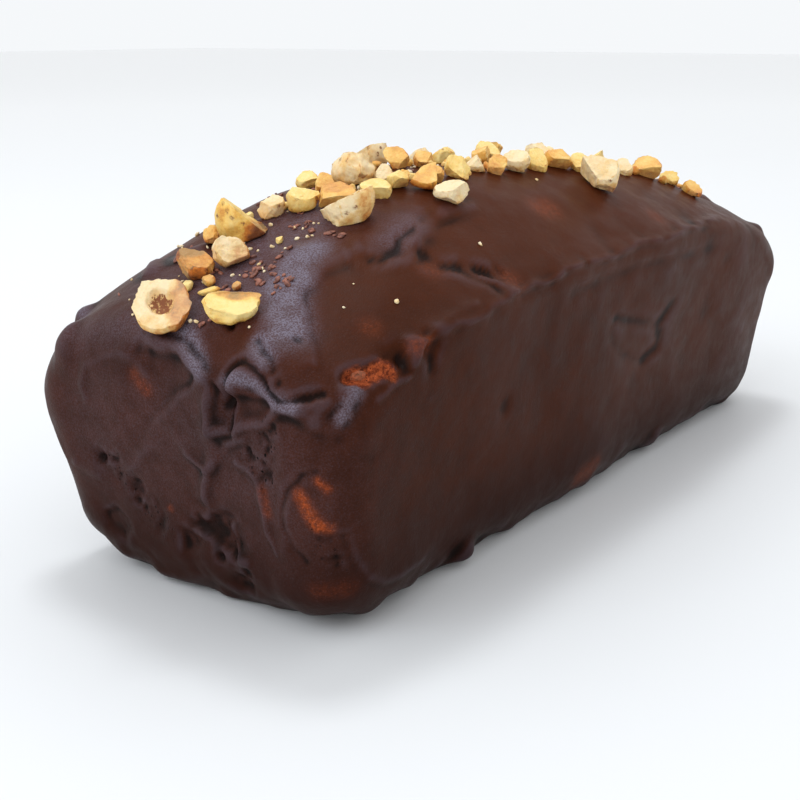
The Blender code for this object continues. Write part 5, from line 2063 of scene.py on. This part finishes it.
@dataclass(frozen=True)
class Studio:
    """Pale floor, soft light and the camera, whose angles are in degrees."""

    focal_pixels: float = 1244.4264
    picture_pixels: float = 800.0
    sensor: float = 36.0
    heading: float = 35.9616
    pitch: float = 16.6304
    roll: float = -0.0677
    stand: Point = (-0.3020, -0.1916, 0.1262)
    floor_half: float = 6.0
    floor_level: float = -0.0003
    room_strength: float = 1.02
    aim: Point = (0.0, 0.0, 0.05)

    def floor(self) -> bpy.types.Object:
        """A wide pale floor just under the loaf, faintly mottled and paler far off.

        Returns:
            The floor, which is no part of the cake.
        """
        half, low = self.floor_half, self.floor_level
        corners = np.array([(-half, -half, low), (half, -half, low),
                            (half, half, low), (-half, half, low)])
        board = NodeBoard("pale_floor")
        drift = board.noise(2.0, 2.0)
        near = board.mix(drift, (0.795, 0.797, 0.800), (0.815, 0.817, 0.820))
        board.set("Base Color", board.mix(board.span(board.distance(), 0.35, 2.0), near,
                                          (0.930, 0.930, 0.930)))
        board.set("Roughness", 0.55)
        board.set("Specular IOR Level", 0.25)
        floor = write_mesh("floor", corners, [np.array([[0, 1, 2, 3]])], {}, board.material)
        return floor

    def light(self, name: str, place: Point, size: tuple[float, float], power: float,
              colour: Point) -> None:
        """One soft area light turned toward the loaf.

        Args:
            name: Name of the light.
            place: Where it hangs.
            size: Width and height.
            power: Watts.
            colour: Its colour.
        """
        data = bpy.data.lights.new(name, "AREA")
        data.shape = "RECTANGLE"
        data.size, data.size_y = size
        data.energy = power
        data.color = colour
        lamp = bpy.data.objects.new(name, data)
        bpy.context.scene.collection.objects.link(lamp)
        lamp.location = place
        aim = Vector(self.aim) - Vector(place)
        lamp.rotation_euler = aim.to_track_quat("-Z", "Y").to_euler()

    def lights(self) -> None:
        """A window high over the loaf, a softer one behind its near end, and a pale room."""
        self.light("window", (0.22, 0.26, 1.45), (0.34, 0.30), 5.5, (0.92, 0.96, 1.0))
        self.light("room_left", (-1.30, 0.20, 1.00), (1.20, 1.00), 7.5, (0.86, 0.93, 1.0))
        world = bpy.data.worlds.new("pale_room")
        world.use_nodes = True
        room = world.node_tree.nodes["Background"]
        room.inputs["Color"].default_value = (0.90, 0.92, 0.94, 1.0)
        room.inputs["Strength"].default_value = self.room_strength
        bpy.context.scene.world = world
        bpy.context.scene.view_settings.view_transform = "Standard"

    def camera(self) -> None:
        """A camera whose heading is turned from +X, then pitched down and rolled."""
        heading, pitch, roll = (math.radians(a) for a in (self.heading, self.pitch, self.roll))
        ahead = np.array([math.cos(heading) * math.cos(pitch),
                          math.sin(heading) * math.cos(pitch), -math.sin(pitch)])
        right = np.array([math.sin(heading), -math.cos(heading), 0.0])
        above = np.cross(right, ahead)
        side = math.cos(roll) * right + math.sin(roll) * above
        top = -math.sin(roll) * right + math.cos(roll) * above
        data = bpy.data.cameras.new("camera")
        data.sensor_width = self.sensor
        data.lens = self.focal_pixels * self.sensor / self.picture_pixels
        data.clip_start = 0.01
        camera = bpy.data.objects.new("camera", data)
        turned = Matrix(np.stack([side, top, -ahead], axis=-1).tolist()).to_4x4()
        camera.matrix_world = Matrix.Translation(self.stand) @ turned
        bpy.context.scene.collection.objects.link(camera)
        bpy.context.scene.camera = camera


def tree_of(thing: bpy.types.Object) -> BVHTree:
    """Search tree of an object's mesh."""
    points = [vertex.co.copy() for vertex in thing.data.vertices]
    return BVHTree.FromPolygons(points, [tuple(face.vertices) for face in thing.data.polygons])


def main() -> None:
    """Build the nuts, the coat round them, the small pieces on it and the studio.

    The coat comes after the nuts because it rises to meet them, and the small
    pieces after the coat because they lie on it.
    """
    logging.basicConfig(level=logging.INFO, format="%(message)s")
    form = LoafForm()
    finishes = {
        Tone.CREAM: HazelnutFinish(Tone.CREAM, (0.93, 0.74, 0.45), (0.84, 0.53, 0.19),
                                   (0.60, 0.200, 0.030)).build(),
        Tone.GOLD: HazelnutFinish(Tone.GOLD, (0.97, 0.74, 0.30), (0.90, 0.55, 0.12),
                                  (0.60, 0.190, 0.026)).build(),
        Tone.TOASTED: HazelnutFinish(Tone.TOASTED, (0.94, 0.68, 0.26), (0.83, 0.42, 0.075),
                                     (0.64, 0.190, 0.024)).build(),
    }
    solid_coat = tree_of(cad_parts["chocolate_coat"])
    scatter = NutScatter(form)
    laid = []
    for nut in NUTS:
        piece, vertices = scatter.build_nut(nut, solid_coat, finishes[nut.tone])
        laid.append(vertices)
        report(piece)

    coat = ChocolateCoat(form, PouredRelief()).build(ChocolateFinish().build(), laid)
    report(coat)
    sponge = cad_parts["sponge"]
    sponge.data.materials.clear()
    sponge.data.materials.append(SpongeFinish().build())
    report(sponge)

    coat_tree = tree_of(coat)
    report(ChipRow().build(finishes[Tone.GOLD], coat_tree))
    red = CrumbFinish("nut_skin", (0.100, 0.025, 0.014), (0.330, 0.115, 0.070), 0.5).build()
    meal = CrumbFinish("nut_meal", (0.900, 0.770, 0.540), (0.840, 0.600, 0.280)).build()
    flakes = Sprinkling("skin_flakes", Tone.TOASTED.value, RED_SPOTS, 0.8, 2.0, 0.42, 0.25,
                        8, 6, 41, strewn=50, per_spot=3, spot_spread=0.8)
    report(flakes.build(red, coat_tree))
    specks = Sprinkling("nut_crumbs", Tone.CREAM.value, CREAM_SPOTS, 0.5, 1.4, 0.6, 0.1,
                        8, 6, 42, strewn=150, spot_spread=0.2)
    report(specks.build(meal, coat_tree))
    bits = Sprinkling("nut_bits", Tone.TOASTED.value, BIT_SPOTS, 1.8, 3.6, 0.75, 0.1,
                      14, 10, 43, per_spot=2, spot_spread=2.2)
    report(bits.build(finishes[Tone.TOASTED], coat_tree))

    studio = Studio()
    studio.floor()
    studio.lights()
    studio.camera()


if __name__ == "__main__":
    main()
